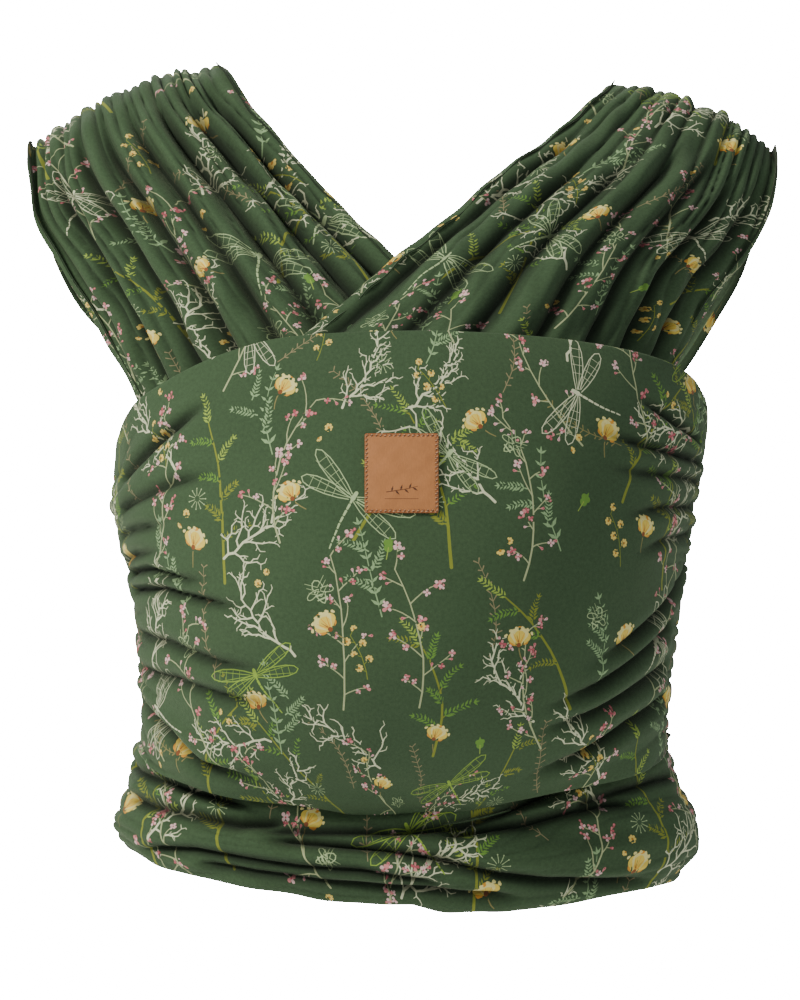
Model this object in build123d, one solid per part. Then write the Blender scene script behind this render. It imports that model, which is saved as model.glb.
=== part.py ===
"""Stretch-jersey wrap baby carrier, shaped as it sits on a wearer with a baby in the pocket.

One long strip of cloth does every job: it is the front panel, goes round the ribs, crosses on the
back, comes over the opposite shoulders, crosses on the chest behind the panel, goes round the waist
and is tied at the back. Each span of the strip is a solid of its own.

Frame, in mm: +Z up, the wearer faces -Y, the wearer's left side is +X. The origin is the middle of
the wearer's waist, at the height of the middle of the waist wrap.
"""

from build123d import *
import math
import os

# Driving dimensions -----------------------------------------------------------------------------
AXIS_Y = -60.0           # the upright line that the wraps go round, between wearer and baby
PANEL_THICKNESS = 2.4    # two layers of jersey
STRAP_THICKNESS = 3.6    # a strap is the whole width of the strip, gathered
WAIST_THICKNESS = 7.0    # the tightest gathers
LAYER = 10.0             # distance from one layer of the wrap to the next one inwards
SQUARENESS = 2.25        # 2 is an ellipse, more is a squarer section

PANEL_ANGLE = 78.0       # the panel reaches this far round to each side, in degrees from the front
SIDE_START = 79.0        # where the side wraps begin
SIDE_END = 124.0         # where the side wraps become the passes across the back
HIP_END = 179.0          # where the hip wraps meet, under the knot

PATCH_WIDTH = 44.6
PATCH_HEIGHT = 48.8
PATCH_THICKNESS = 2.0
PATCH_HEIGHT_ABOVE_WAIST = 237.4
STITCH_DIAMETER = 0.8
STITCH_LENGTH = 2.6
STITCH_PITCH = 2.7
STITCH_INSET = 1.4

TAIL_LENGTH = 48.0
TAIL_HINGE = (24.0, 137.0, 0.0)
KNOT_CENTRE = (0.0, 135.0, 27.0)
KNOT_SIZE = (74.0, 34.0, 44.0)

# How far the wrap stands from the upright axis, as (height, radius), to each side ------------------
FRONT_RADIUS = [(-40, 82), (-20, 94), (0, 98), (22, 92), (34, 112), (55, 140), (85, 165), (120, 183),
                (160, 190), (210, 188), (260, 178), (300, 162), (325, 146), (350, 126)]
LEFT_RADIUS = [(-40, 160), (-20, 178), (5, 187), (35, 175), (70, 168), (120, 173), (190, 183),
               (250, 192), (300, 196), (350, 200)]
RIGHT_RADIUS = [(-40, 150), (-20, 165), (5, 180), (35, 172), (80, 165), (120, 166), (160, 172),
                (215, 185), (250, 182), (300, 186), (350, 190)]
BACK_RADIUS = [(-40, 168), (0, 172), (60, 174), (350, 176)]
WAIST_FRONT_RADIUS = [(-40, 84), (-22, 94), (0, 98), (20, 92), (50, 88)]

# Edges of the wraps that go round the body, as (angle from the front, height) ---------------------
PANEL_TOP = [(-90, 250), (-78, 262), (-65, 280), (-55, 292), (-40, 311), (-27, 322), (0, 325),
             (30, 322), (50, 314), (65, 303), (78, 288), (90, 268)]
PANEL_BOTTOM = [(-90, 66), (-78, 60), (-50, 41), (-25, 30), (0, 26), (25, 31), (50, 45), (78, 60), (90, 66)]
WAIST_TOP = [(-90, 50), (-78, 49), (-50, 34), (-25, 24), (0, 20), (25, 25), (50, 38), (78, 49), (90, 50)]
WAIST_BOTTOM = [(-90, -2), (-60, -18), (-30, -31), (0, -33), (20, -38), (45, -36), (60, -32), (90, -18)]
HIP_TOP = [(79, 49), (125, 49), (165, 44), (HIP_END, 38)]
LEFT_HIP_BOTTOM = [(79, -24), (125, -10), (165, 6), (HIP_END, 14)]
RIGHT_HIP_BOTTOM = [(79, -8), (125, -4), (165, 6), (HIP_END, 14)]
LEFT_SIDE_TOP = [(79, 286), (100, 264), (SIDE_END, 258)]
RIGHT_SIDE_TOP = [(79, 261), (100, 254), (SIDE_END, 258)]
SIDE_BOTTOM = [(79, 61), (100, 60), (SIDE_END, 64)]

# A pass across the back goes from one shoulder to the other side's ribs. Its angles are counted
# from the middle of the back towards those ribs.
# across the back the left strap's pass lies outside the right one's
LEFT_BACK_LIFT = 9.0
RIGHT_BACK_LIFT = -4.0
BACK_CROSS_TOP = [(-18, 238), (0, 288), (16, 326), (30, 290), (42, 268), (56, 258)]
BACK_CROSS_BOTTOM = [(-18, 166), (0, 134), (16, 112), (30, 90), (56, 64)]

# Behind the panel each chest strap goes on down to the other side's hip. Angles are counted from
# the middle of the front towards that hip.
FRONT_CROSS_TOP = [(-44, 218), (-20, 230), (8, 240), (36, 238), (58, 196), (78, 132)]
FRONT_CROSS_BOTTOM = [(-44, 196), (-28, 146), (-4, 92), (30, 58), (55, 56), (78, 62)]

# The left shoulder strap, from behind the panel, up over the shoulder and down the back: the edge at
# the neck, the edge at the arm, how far the middle stands proud of the line between them, and
# which way. y and z are the frame's; x is counted from the wearer's middle to the strap's own side.
LEFT_CHEST = [
    ((-106, -175, 287), (143, -142, 246), 66, (0, -1, 0.05)),
    ((-84, -179, 308), (161, -112, 272), 66, (0, -1, 0.10)),
    ((-60, -177, 328), (174, -88, 297), 58, (0, -1, 0.20)),
    ((-1, -151, 377), (200, -76, 342), 40, (0, -0.85, 0.5)),
    ((56, -106, 426), (226, -62, 376), 30, (0, -0.7, 0.7)),
    ((100, -60, 462), (243, -44, 408), 22, (0, -0.5, 0.87)),
]
LEFT_CAP = [
    ((100, -60, 462), (243, -44, 408), 22, (0, -0.5, 0.87)),
    ((124, -32, 485), (248, -24, 435), 16, (0.1, -0.2, 0.97)),
    ((132, 0, 493), (249, 0, 446), 13, (0.15, 0, 0.98)),
    ((124, 33, 484), (248, 26, 433), 16, (0.1, 0.2, 0.97)),
    ((100, 62, 460), (243, 46, 404), 22, (0, 0.5, 0.87)),
]
LEFT_BACK = [
    ((100, 62, 460), (243, 46, 404), 22, (0, 0.5, 0.87)),
    ((64, 97, 426), (226, 66, 358), 24, (0, 0.8, 0.6)),
    ((18, 119, 388), (184, 74, 292), 22, (0, 0.95, 0.3)),
    ((-38, 122, 345), (110, 92, 208), 19, (0, 1, 0.05)),
]
# The right shoulder strap sits a little higher and passes inside the left one, front and back.
RIGHT_CHEST = [
    ((100, -168, 284), (-136, -128, 220), 56, (0, -1, 0.05)),
    ((76, -171, 308), (-152, -104, 243), 58, (0, -1, 0.10)),
    ((52, -166, 330), (-163, -88, 266), 52, (0, -1, 0.20)),
    ((-3, -138, 376), (-189, -76, 315), 38, (0, -0.85, 0.5)),
    ((-45, -104, 418), (-215, -62, 358), 30, (0, -0.7, 0.7)),
    ((-92, -58, 470), (-240, -44, 406), 22, (0, -0.5, 0.87)),
]
RIGHT_CAP = [
    ((-92, -58, 470), (-240, -44, 406), 22, (0, -0.5, 0.87)),
    ((-108, -30, 491), (-245, -24, 438), 17, (-0.1, -0.2, 0.97)),
    ((-113, 0, 500), (-247, 0, 452), 13, (-0.15, 0, 0.98)),
    ((-108, 31, 490), (-245, 26, 436), 17, (-0.1, 0.2, 0.97)),
    ((-92, 60, 466), (-240, 44, 402), 22, (0, 0.5, 0.87)),
]
RIGHT_BACK = [
    ((-92, 60, 466), (-240, 44, 402), 22, (0, 0.5, 0.87)),
    ((-60, 88, 428), (-224, 58, 356), 24, (0, 0.8, 0.6)),
    ((-16, 104, 386), (-174, 40, 302), 24, (0, 0.95, 0.3)),
    ((38, 106, 341), (-104, 76, 218), 19, (0, 1, 0.05)),
]
SECTION_POINTS = 9

# One tail, from the knot down: distance below the hinge, half its width, its thickness, how far it
# leans out to its own side.
TAIL_SECTIONS = [(0.06, 10, 8, 0), (0.25, 13, 8, 2), (0.5, 18, 7, 5), (0.8, 24, 6, 9), (1.0, 27, 5, 12)]
TAIL_BOW = 3.0            # how far the tail's side edges stand behind its middle
LABEL_WIDTH = 16.0
LABEL_HEIGHT = 22.0
LABEL_THICKNESS = 0.8
LABEL_FROM_HINGE = (27.0, 6.65, -24.0)    # the middle of its face against the tail


def follow(outline, place):
    """The smooth curve through an outline's points, at one place along it."""
    if place <= outline[0][0]:
        return outline[0][1]
    if place >= outline[-1][0]:
        return outline[-1][1]
    last = len(outline) - 1
    i = max(k for k in range(last) if outline[k][0] <= place)
    before, here = outline[max(i - 1, 0)], outline[i]
    there, after = outline[i + 1], outline[min(i + 2, last)]
    step = there[0] - here[0]
    share = (place - here[0]) / step
    slope_here = (there[1] - before[1]) / (there[0] - before[0]) * step
    slope_there = (after[1] - here[1]) / (after[0] - here[0]) * step
    return (
        here[1] * (1 - share) ** 2 * (1 + 2 * share)
        + slope_here * share * (1 - share) ** 2
        + there[1] * share**2 * (3 - 2 * share)
        - slope_there * share**2 * (1 - share)
    )


def body_radius(angle, height, front):
    """How far the outer layer stands from the upright axis, at an angle from the front."""
    turn = math.radians(angle)
    across = follow(LEFT_RADIUS if math.sin(turn) >= 0 else RIGHT_RADIUS, height)
    along = follow(front if math.cos(turn) >= 0 else BACK_RADIUS, height)
    power = SQUARENESS
    return (abs(math.cos(turn) / along) ** power + abs(math.sin(turn) / across) ** power) ** (-1 / power)


def on_body(angle, height, lift=0.0, front=FRONT_RADIUS):
    """A point of the wrap's outer layer, or lift outside it."""
    turn = math.radians(angle)
    radius = body_radius(angle, height, front) + lift
    return Vector(radius * math.sin(turn), AXIS_Y - radius * math.cos(turn), height)


def band_outline(middle, outward, thickness):
    """The closed outline of a thin band whose middle line runs through the points of middle."""
    chord = middle[-1] - middle[0]
    across = chord.cross(outward).normalized()
    faces = [[], []]
    for i, point in enumerate(middle):
        along = middle[min(i + 1, len(middle) - 1)] - middle[max(i - 1, 0)]
        normal = across.cross(along).normalized()
        if normal.dot(outward) < 0:
            normal = normal * -1
        faces[0].append(point + normal * (thickness / 2))
        faces[1].append(point - normal * (thickness / 2))
    outer, inner = faces
    return Wire([
        Edge.make_spline(outer),
        Edge.make_line(outer[-1], inner[-1]),
        Edge.make_spline(inner[::-1]),
        Edge.make_line(inner[0], outer[0]),
    ])


def wrap_span(angles, bottom, top, lift, thickness, counted_from=0.0, side=1.0, front=FRONT_RADIUS):
    """A span of the strip that goes round the body, between its bottom and top edges.

    bottom and top give heights at angles counted from counted_from towards the given side."""
    outlines = []
    for angle in angles:
        low, high = follow(bottom, angle), follow(top, angle)
        turned = counted_from + side * angle
        heights = [low + (high - low) * i / (SECTION_POINTS - 1) for i in range(SECTION_POINTS)]
        middle = [on_body(turned, height, lift, front) for height in heights]
        turn = math.radians(turned)
        outlines.append(band_outline(middle, Vector(math.sin(turn), -math.cos(turn), 0), thickness))
    return Solid.make_loft(outlines)


def strap_span(stations):
    """A span of a shoulder strap, through sections from the arm's edge to the neck's."""
    outlines = []
    for neck, arm, crown, way in stations:
        neck, arm = Vector(*neck), Vector(*arm)
        chord = neck - arm
        outward = Vector(*way)
        outward = (outward - chord * (outward.dot(chord) / chord.dot(chord))).normalized()
        shares = [i / (SECTION_POINTS - 1) for i in range(SECTION_POINTS)]
        middle = [arm + chord * share + outward * (crown * 4 * share * (1 - share)) for share in shares]
        outlines.append(band_outline(middle, outward, STRAP_THICKNESS))
    return Solid.make_loft(outlines)


def evenly(start, end, count):
    return [start + (end - start) * i / (count - 1) for i in range(count)]


def front_panel():
    return wrap_span(evenly(-PANEL_ANGLE, PANEL_ANGLE, 15), PANEL_BOTTOM, PANEL_TOP, 0, PANEL_THICKNESS)


def patch_place(across, up, lift):
    """A point over the panel's outer face, measured from the middle of the patch."""
    height = PATCH_HEIGHT_ABOVE_WAIST + up
    angle = math.degrees(math.asin(across / body_radius(0, height, FRONT_RADIUS)))
    return on_body(angle, height, PANEL_THICKNESS / 2 + lift)


def leather_patch():
    outlines = []
    for across in evenly(-PATCH_WIDTH / 2, PATCH_WIDTH / 2, 5):
        ups = evenly(-PATCH_HEIGHT / 2, PATCH_HEIGHT / 2, 5)
        middle = [patch_place(across, up, PATCH_THICKNESS / 2 + 0.1) for up in ups]
        flat = [Vector(middle[2].X, point.Y, point.Z) for point in middle]
        outlines.append(band_outline(flat, Vector(0, -1, 0), PATCH_THICKNESS))
    return Solid.make_loft(outlines)


def patch_stitches():
    """Slanting overcast stitches along the patch's four sides."""
    half_width = PATCH_WIDTH / 2 - STITCH_INSET
    half_height = PATCH_HEIGHT / 2 - STITCH_INSET
    places = []
    for side in (-1, 1):
        for up in evenly(-half_height, half_height, round(2 * half_height / STITCH_PITCH) + 1):
            places.append((side * half_width, up))
        for across in evenly(-half_width, half_width, round(2 * half_width / STITCH_PITCH) + 1)[1:-1]:
            places.append((across, side * half_height))
    stitches = []
    slant = STITCH_LENGTH / 2 / math.sqrt(2)
    lift = PATCH_THICKNESS + STITCH_DIAMETER / 2 + 0.25
    for across, up in places:
        start = patch_place(across - slant, up - slant, lift)
        end = patch_place(across + slant, up + slant, lift)
        line = Plane(origin=start, z_dir=end - start)
        stitches.append(Solid.make_cylinder(STITCH_DIAMETER / 2, (end - start).length, line))
    return Compound(children=stitches)


def side_wrap(side):
    top = LEFT_SIDE_TOP if side > 0 else RIGHT_SIDE_TOP
    return wrap_span(evenly(SIDE_START, SIDE_END, 7), SIDE_BOTTOM, top, 0, PANEL_THICKNESS, 0, side)


def back_cross(shoulder):
    """The pass from one shoulder down to the other side's ribs; the left one lies outside."""
    lift = LEFT_BACK_LIFT if shoulder > 0 else RIGHT_BACK_LIFT
    angles = [-18, -9, 0, 8, 16, 24, 32, 42, 54.5]
    return wrap_span(angles, BACK_CROSS_BOTTOM, BACK_CROSS_TOP, lift, STRAP_THICKNESS, 180, shoulder)


def front_cross(shoulder):
    """The pass behind the panel from one shoulder's strap down to the other side's hip."""
    lift = -LAYER if shoulder > 0 else -2 * LAYER
    angles = [-44, -36, -28, -16, -4, 8, 20, 30, 42, 54, 66, 76]
    return wrap_span(angles, FRONT_CROSS_BOTTOM, FRONT_CROSS_TOP, lift, STRAP_THICKNESS, 0, -shoulder)


def waist_front():
    angles = evenly(-PANEL_ANGLE, PANEL_ANGLE, 13)
    return wrap_span(angles, WAIST_BOTTOM, WAIST_TOP, 0, WAIST_THICKNESS, front=WAIST_FRONT_RADIUS)


def hip_wrap(side):
    bottom = LEFT_HIP_BOTTOM if side > 0 else RIGHT_HIP_BOTTOM
    return wrap_span(evenly(SIDE_START, HIP_END, 9), bottom, HIP_TOP, 0, WAIST_THICKNESS, 0, side)


def knot_core():
    width, depth, height = KNOT_SIZE
    ball = Solid.make_sphere(1, angle1=-90, angle2=90)
    return Pos(*KNOT_CENTRE) * scale(ball, by=(width / 2, depth / 2, height / 2))


def knot_loop():
    """The turn of cloth that goes over the knot's middle, from its top to its underside."""
    x, y, z = KNOT_CENTRE
    _, depth, height = KNOT_SIZE
    outlines = []
    for angle in (-58, -35, -12, 12, 35, 58):
        turn = math.radians(angle)
        out, up = math.cos(turn), math.sin(turn)
        middle = []
        for share in evenly(-1, 1, 5):
            swell = 5.2 - 2.4 * share * share
            middle.append(Vector(
                x + 13 * share,
                y + (depth / 2 + swell) * out,
                z + (height / 2 + swell) * up,
            ))
        outlines.append(band_outline(middle, Vector(0, out, up), 3.6))
    return Solid.make_loft(outlines)


def tail(side):
    x, y, z = TAIL_HINGE
    outlines = []
    for drop, half_width, thickness, lean in TAIL_SECTIONS:
        middle = [
            Vector(side * (x + lean) + half_width * share, y + TAIL_BOW * share * share, z - TAIL_LENGTH * drop)
            for share in evenly(-1, 1, 5)
        ]
        outlines.append(band_outline(middle, Vector(0, 1, 0), thickness))
    return Solid.make_loft(outlines)


def care_label():
    """A folded blank label, sewn into the left tail's side edge."""
    x, y, z = (hinge + offset for hinge, offset in zip(TAIL_HINGE, LABEL_FROM_HINGE))
    corner = Plane((x - LABEL_WIDTH / 2, y, z - LABEL_HEIGHT / 2))
    return Solid.make_box(LABEL_WIDTH, LABEL_THICKNESS, LABEL_HEIGHT, corner)


PARTS = {
    "front_panel": front_panel(),
    "leather_patch": leather_patch(),
    "patch_stitches": patch_stitches(),
    "left_side_wrap": side_wrap(1),
    "right_side_wrap": side_wrap(-1),
    "left_chest_strap": strap_span(LEFT_CHEST),
    "left_shoulder_cap": strap_span(LEFT_CAP),
    "left_back_strap": strap_span(LEFT_BACK),
    "right_chest_strap": strap_span(RIGHT_CHEST),
    "right_shoulder_cap": strap_span(RIGHT_CAP),
    "right_back_strap": strap_span(RIGHT_BACK),
    "left_back_cross": back_cross(1),
    "right_back_cross": back_cross(-1),
    "left_front_cross": front_cross(1),
    "right_front_cross": front_cross(-1),
    "waist_front": waist_front(),
    "left_hip_wrap": hip_wrap(1),
    "right_hip_wrap": hip_wrap(-1),
    "knot_core": knot_core(),
    "knot_loop": knot_loop(),
    "left_tail": tail(1),
    "right_tail": tail(-1),
    "care_label": care_label(),
}

os.makedirs("parts", exist_ok=True)
for name, shape in PARTS.items():
    export_step(shape, f"parts/{name}.step")
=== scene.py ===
"""The looks of a stretch-jersey wrap baby carrier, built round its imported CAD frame.

The cloth is a set of fine grids: each follows the span's CAD surface, is pleated and folded, has its
edges turned in, and is closed to the thickness of the jersey. The printed meadow is drawn by the
material itself: each face carries the few strokes that cross it, as attributes.
"""

import math
import random

import bpy
import numpy as np
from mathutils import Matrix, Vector


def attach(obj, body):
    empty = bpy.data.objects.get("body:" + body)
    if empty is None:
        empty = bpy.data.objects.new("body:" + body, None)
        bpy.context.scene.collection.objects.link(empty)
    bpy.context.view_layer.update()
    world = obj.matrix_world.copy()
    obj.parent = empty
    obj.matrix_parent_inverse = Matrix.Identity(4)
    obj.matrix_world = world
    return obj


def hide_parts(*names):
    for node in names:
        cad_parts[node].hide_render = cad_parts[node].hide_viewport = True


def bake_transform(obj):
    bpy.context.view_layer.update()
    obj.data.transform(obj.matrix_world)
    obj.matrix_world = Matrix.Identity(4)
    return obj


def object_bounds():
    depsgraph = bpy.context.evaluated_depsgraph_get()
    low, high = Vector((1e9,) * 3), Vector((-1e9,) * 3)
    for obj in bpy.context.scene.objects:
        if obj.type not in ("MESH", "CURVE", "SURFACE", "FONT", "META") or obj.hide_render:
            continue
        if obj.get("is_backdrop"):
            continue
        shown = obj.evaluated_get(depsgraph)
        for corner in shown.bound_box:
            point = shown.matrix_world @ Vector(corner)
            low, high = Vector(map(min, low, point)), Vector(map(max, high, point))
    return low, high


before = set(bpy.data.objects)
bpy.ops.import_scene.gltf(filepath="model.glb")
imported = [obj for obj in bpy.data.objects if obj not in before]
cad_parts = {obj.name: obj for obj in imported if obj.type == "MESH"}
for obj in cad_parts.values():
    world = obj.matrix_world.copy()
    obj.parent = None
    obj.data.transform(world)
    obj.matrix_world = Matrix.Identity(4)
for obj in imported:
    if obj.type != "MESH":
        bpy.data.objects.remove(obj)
CAD_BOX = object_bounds()

MM = 0.001                  # the outlines below are in millimetres, as in the CAD
AXIS_Y = -60.0              # the upright line that the wraps go round
SQUARENESS = 2.25           # 2 is an ellipse, more is a squarer section
JERSEY = 1.1                # thickness of the cloth
SEAM_ANGLE = 124.0          # where the pocket cloth meets the passes from the back

# The wrap's distance from the upright axis by height, to each side -------------------------------
FRONT_RADIUS = [(-40, 82), (-20, 94), (0, 98), (22, 92), (34, 112), (55, 140), (85, 165), (120, 183),
                (160, 190), (210, 188), (260, 178), (300, 162), (325, 146), (350, 126)]
LEFT_RADIUS = [(-40, 160), (-20, 178), (5, 187), (35, 175), (70, 168), (120, 173), (190, 183),
               (250, 192), (300, 196), (350, 200)]
RIGHT_RADIUS = [(-40, 150), (-20, 165), (5, 180), (35, 172), (80, 165), (120, 166), (160, 172),
                (215, 185), (250, 182), (300, 186), (350, 190)]
BACK_RADIUS = [(-40, 168), (0, 172), (60, 174), (350, 176)]
WAIST_FRONT_RADIUS = [(-40, 84), (-22, 94), (0, 98), (20, 92), (50, 88)]

# Edges of the cloth round the body, as (angle from the front, height) -----------------------------
POCKET_TOP = [(-124, 258), (-100, 252), (-90, 251), (-78, 262), (-65, 280), (-55, 292), (-40, 311),
              (-27, 321), (0, 325), (30, 322), (50, 314), (65, 303), (78, 288), (90, 270), (104, 260),
              (124, 258)]
POCKET_BOTTOM = [(-124, 64), (-90, 62), (-78, 58), (-50, 36), (-25, 26), (0, 21), (25, 26), (50, 40),
                 (78, 57), (90, 60), (124, 64)]


# ----------------------------------------------------------------------------------------------
# Curves and noise
# ----------------------------------------------------------------------------------------------
def between(first, last, first_slope, last_slope, step, share):
    """The cubic from one value to the next over a step, with the slope given at each."""
    return (
        first * (1 - share) ** 2 * (1 + 2 * share)
        + first_slope * step * share * (1 - share) ** 2
        + last * share**2 * (3 - 2 * share)
        - last_slope * step * share**2 * (1 - share)
    )


def follow(outline, place):
    """The smooth curve through an outline's points, at places along it."""
    xs, ys = np.array(outline, float).T
    slopes = np.empty_like(ys)
    slopes[1:-1] = (ys[2:] - ys[:-2]) / (xs[2:] - xs[:-2])
    slopes[0] = (ys[1] - ys[0]) / (xs[1] - xs[0])
    slopes[-1] = (ys[-1] - ys[-2]) / (xs[-1] - xs[-2])
    place = np.clip(place, xs[0], xs[-1])
    i = np.clip(np.searchsorted(xs, place, side="right") - 1, 0, len(xs) - 2)
    step = xs[i + 1] - xs[i]
    return between(ys[i], ys[i + 1], slopes[i], slopes[i + 1], step, (place - xs[i]) / step)


def smooth(low, high, x):
    """0 at low, 1 at high, and a smooth step between."""
    share = np.clip((x - low) / (high - low), 0, 1)
    return share * share * (3 - 2 * share)


def ripple(u, v, seed, u_size, v_size, waves=7):
    """Smooth noise of about unit height, with features of the given sizes."""
    rng = random.Random(seed)
    total = np.zeros(np.broadcast(u, v).shape)
    for _ in range(waves):
        turn = rng.uniform(0, 2 * math.pi)
        scale = rng.uniform(0.6, 1.6)
        phase = rng.uniform(0, 2 * math.pi)
        way = u / u_size * math.cos(turn) + v / v_size * math.sin(turn)
        total += np.sin(2 * math.pi * scale * way + phase)
    return total / math.sqrt(waves / 2)


def body_radius(angle, height, front=FRONT_RADIUS):
    """The wrap's distance from the upright axis, at angles from the front."""
    turn = np.radians(angle)
    across = np.where(np.sin(turn) >= 0, follow(LEFT_RADIUS, height), follow(RIGHT_RADIUS, height))
    along = np.where(np.cos(turn) >= 0, follow(front, height), follow(BACK_RADIUS, height))
    power = SQUARENESS
    return (np.abs(np.cos(turn) / along) ** power + np.abs(np.sin(turn) / across) ** power) ** (-1 / power)


def on_body(angle, height, lift=0.0, front=FRONT_RADIUS):
    """Points of the wrap's outer layer, or lift outside it."""
    turn = np.radians(angle)
    radius = body_radius(angle, height, front) + lift
    return np.stack(
        np.broadcast_arrays(radius * np.sin(turn), AXIS_Y - radius * np.cos(turn), height), axis=-1
    )


def lengths_along(points):
    """Running length along the first axis of an array of points."""
    steps = np.linalg.norm(np.diff(points, axis=0), axis=-1)
    return np.concatenate([np.zeros((1,) + steps.shape[1:]), np.cumsum(steps, axis=0)])


# ----------------------------------------------------------------------------------------------
# Folds
# ----------------------------------------------------------------------------------------------
class Pleats:
    """A row of gathers across a strip: where their valleys run, how high and how long each is."""

    def __init__(self, seed, count, broad_from=None):
        rng = random.Random(seed)
        widths = [rng.uniform(0.6, 1.4) for _ in range(count)]
        if broad_from is not None:
            centres = np.cumsum(widths) / sum(widths)
            widths = [w * (2.0 if c > broad_from else 0.8) for w, c in zip(widths, centres)]
        self.edges = np.concatenate([[0], np.cumsum(widths) / sum(widths)])
        self.heights = np.array([rng.uniform(0.55, 1.15) for _ in range(count)])
        self.skews = np.array([rng.uniform(0.75, 1.5) for _ in range(count)])

    def place(self, across, wander):
        """The gather at each place across the strip, and how far across that gather it is."""
        place = np.clip(across + wander, 0.0005, 0.9995)
        i = np.clip(np.searchsorted(self.edges, place, side="right") - 1, 0, len(self.heights) - 1)
        share = (place - self.edges[i]) / (self.edges[i + 1] - self.edges[i])
        return i, share ** self.skews[i]

    def rise(self, across, wander=0.0):
        """Height of the gathers, from about 0 in the valleys to about 1."""
        i, share = self.place(across, wander)
        return np.sqrt(np.clip(1 - np.abs(2 * share - 1) ** 2.3, 0, 1)) * self.heights[i]

    def fold_shade(self, across, wander=0.0):
        """How much painted shade each place gets: 1 in the valleys between gathers, 0 on them."""
        _, share = self.place(across, wander)
        return np.abs(2 * share - 1) ** 5


def distance_to_line(u, v, points):
    """Signed distance to a line of points, and the share of its length at the nearest place."""
    points = np.array(points, float)
    runs = np.linalg.norm(np.diff(points, axis=0), axis=1)
    ends = np.concatenate([[0], np.cumsum(runs)]) / runs.sum()
    best = np.full(u.shape, 1e9)
    signed = np.zeros(u.shape)
    share = np.zeros(u.shape)
    for a, b, low, high in zip(points[:-1], points[1:], ends[:-1], ends[1:]):
        d = b - a
        along = np.clip(((u - a[0]) * d[0] + (v - a[1]) * d[1]) / (d @ d), 0, 1)
        du, dv = u - a[0] - along * d[0], v - a[1] - along * d[1]
        gap = np.hypot(du, dv)
        nearer = gap < best
        side = np.sign(d[0] * dv - d[1] * du)
        best = np.where(nearer, gap, best)
        signed = np.where(nearer, side * gap, signed)
        share = np.where(nearer, low + along * (high - low), share)
    return best, signed, share


FOLD_DEPTH = 1.7            # how much deeper a valley is pressed than the fold's nominal depth
FULL_SHADOW_DEPTH = 4       # a fold this deep gets the full painted shade in its valley
FOLD_LIP = 0.5              # height of the swelling beside a valley, against its depth


def crease(field, fold_shade, u, v, points, depth, width, start_fade=0.1, end_fade=0.35):
    """Presses a valley along a line into a height field, with a swelling on each side of it, and records how much
    painted shade the valley's colour gets.
    """
    gap, signed, share = distance_to_line(u, v, points)
    fade = smooth(0, start_fade, share) * smooth(0, end_fade, 1 - share)
    # painted shade: the colour along the valley is darkened, most along its line
    shadow = fade * min(depth / FULL_SHADOW_DEPTH, 1) * np.exp(-((gap / (1.15 * width)) ** 2))
    np.maximum(fold_shade, shadow, out=fold_shade)
    field -= FOLD_DEPTH * depth * fade * np.exp(-gap / width)
    lip = depth * FOLD_LIP * fade
    field += lip * np.exp(-(((signed - 2.2 * width) / (1.9 * width)) ** 2))
    field += lip * 0.5 * np.exp(-(((signed + 2.6 * width) / (2.4 * width)) ** 2))


# ----------------------------------------------------------------------------------------------
# The printed meadow: strokes on a repeating tile, each (x0, y0, r0, x1, y1, r1, ink), in mm
# ----------------------------------------------------------------------------------------------
INKS = {
    "poppy_pale": (255, 243, 158), "poppy": (255, 224, 96), "poppy_deep": (240, 166, 56),
    "poppy_dark": (150, 84, 48), "pink": (236, 146, 150), "pink_pale": (252, 208, 206),
    "pink_deep": (196, 92, 106), "twig": (188, 196, 146), "twig_brown": (150, 138, 84),
    "olive": (142, 150, 50), "lime": (164, 190, 78), "leaf": (112, 158, 62), "cream": (232, 236, 196),
    "fern": (154, 186, 134), "beige": (154, 140, 104), "yellow": (254, 222, 116), "ochre": (206, 146, 54),
    "wing_lime": (156, 190, 70), "pale_green": (192, 214, 158), "burnt": (74, 44, 26),
}
INK_NAMES = list(INKS)
TILE_WIDTH = 330.0
TILE_HEIGHT = 400.0
STROKES_PER_FACE = 6
EDGE_BLUR = 0.13            # how far a stroke's edge fades
QUARTER = math.pi / 2


def ahead(x, y, heading, reach):
    """The point a distance away along a heading."""
    return x + math.cos(heading) * reach, y + math.sin(heading) * reach


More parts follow.
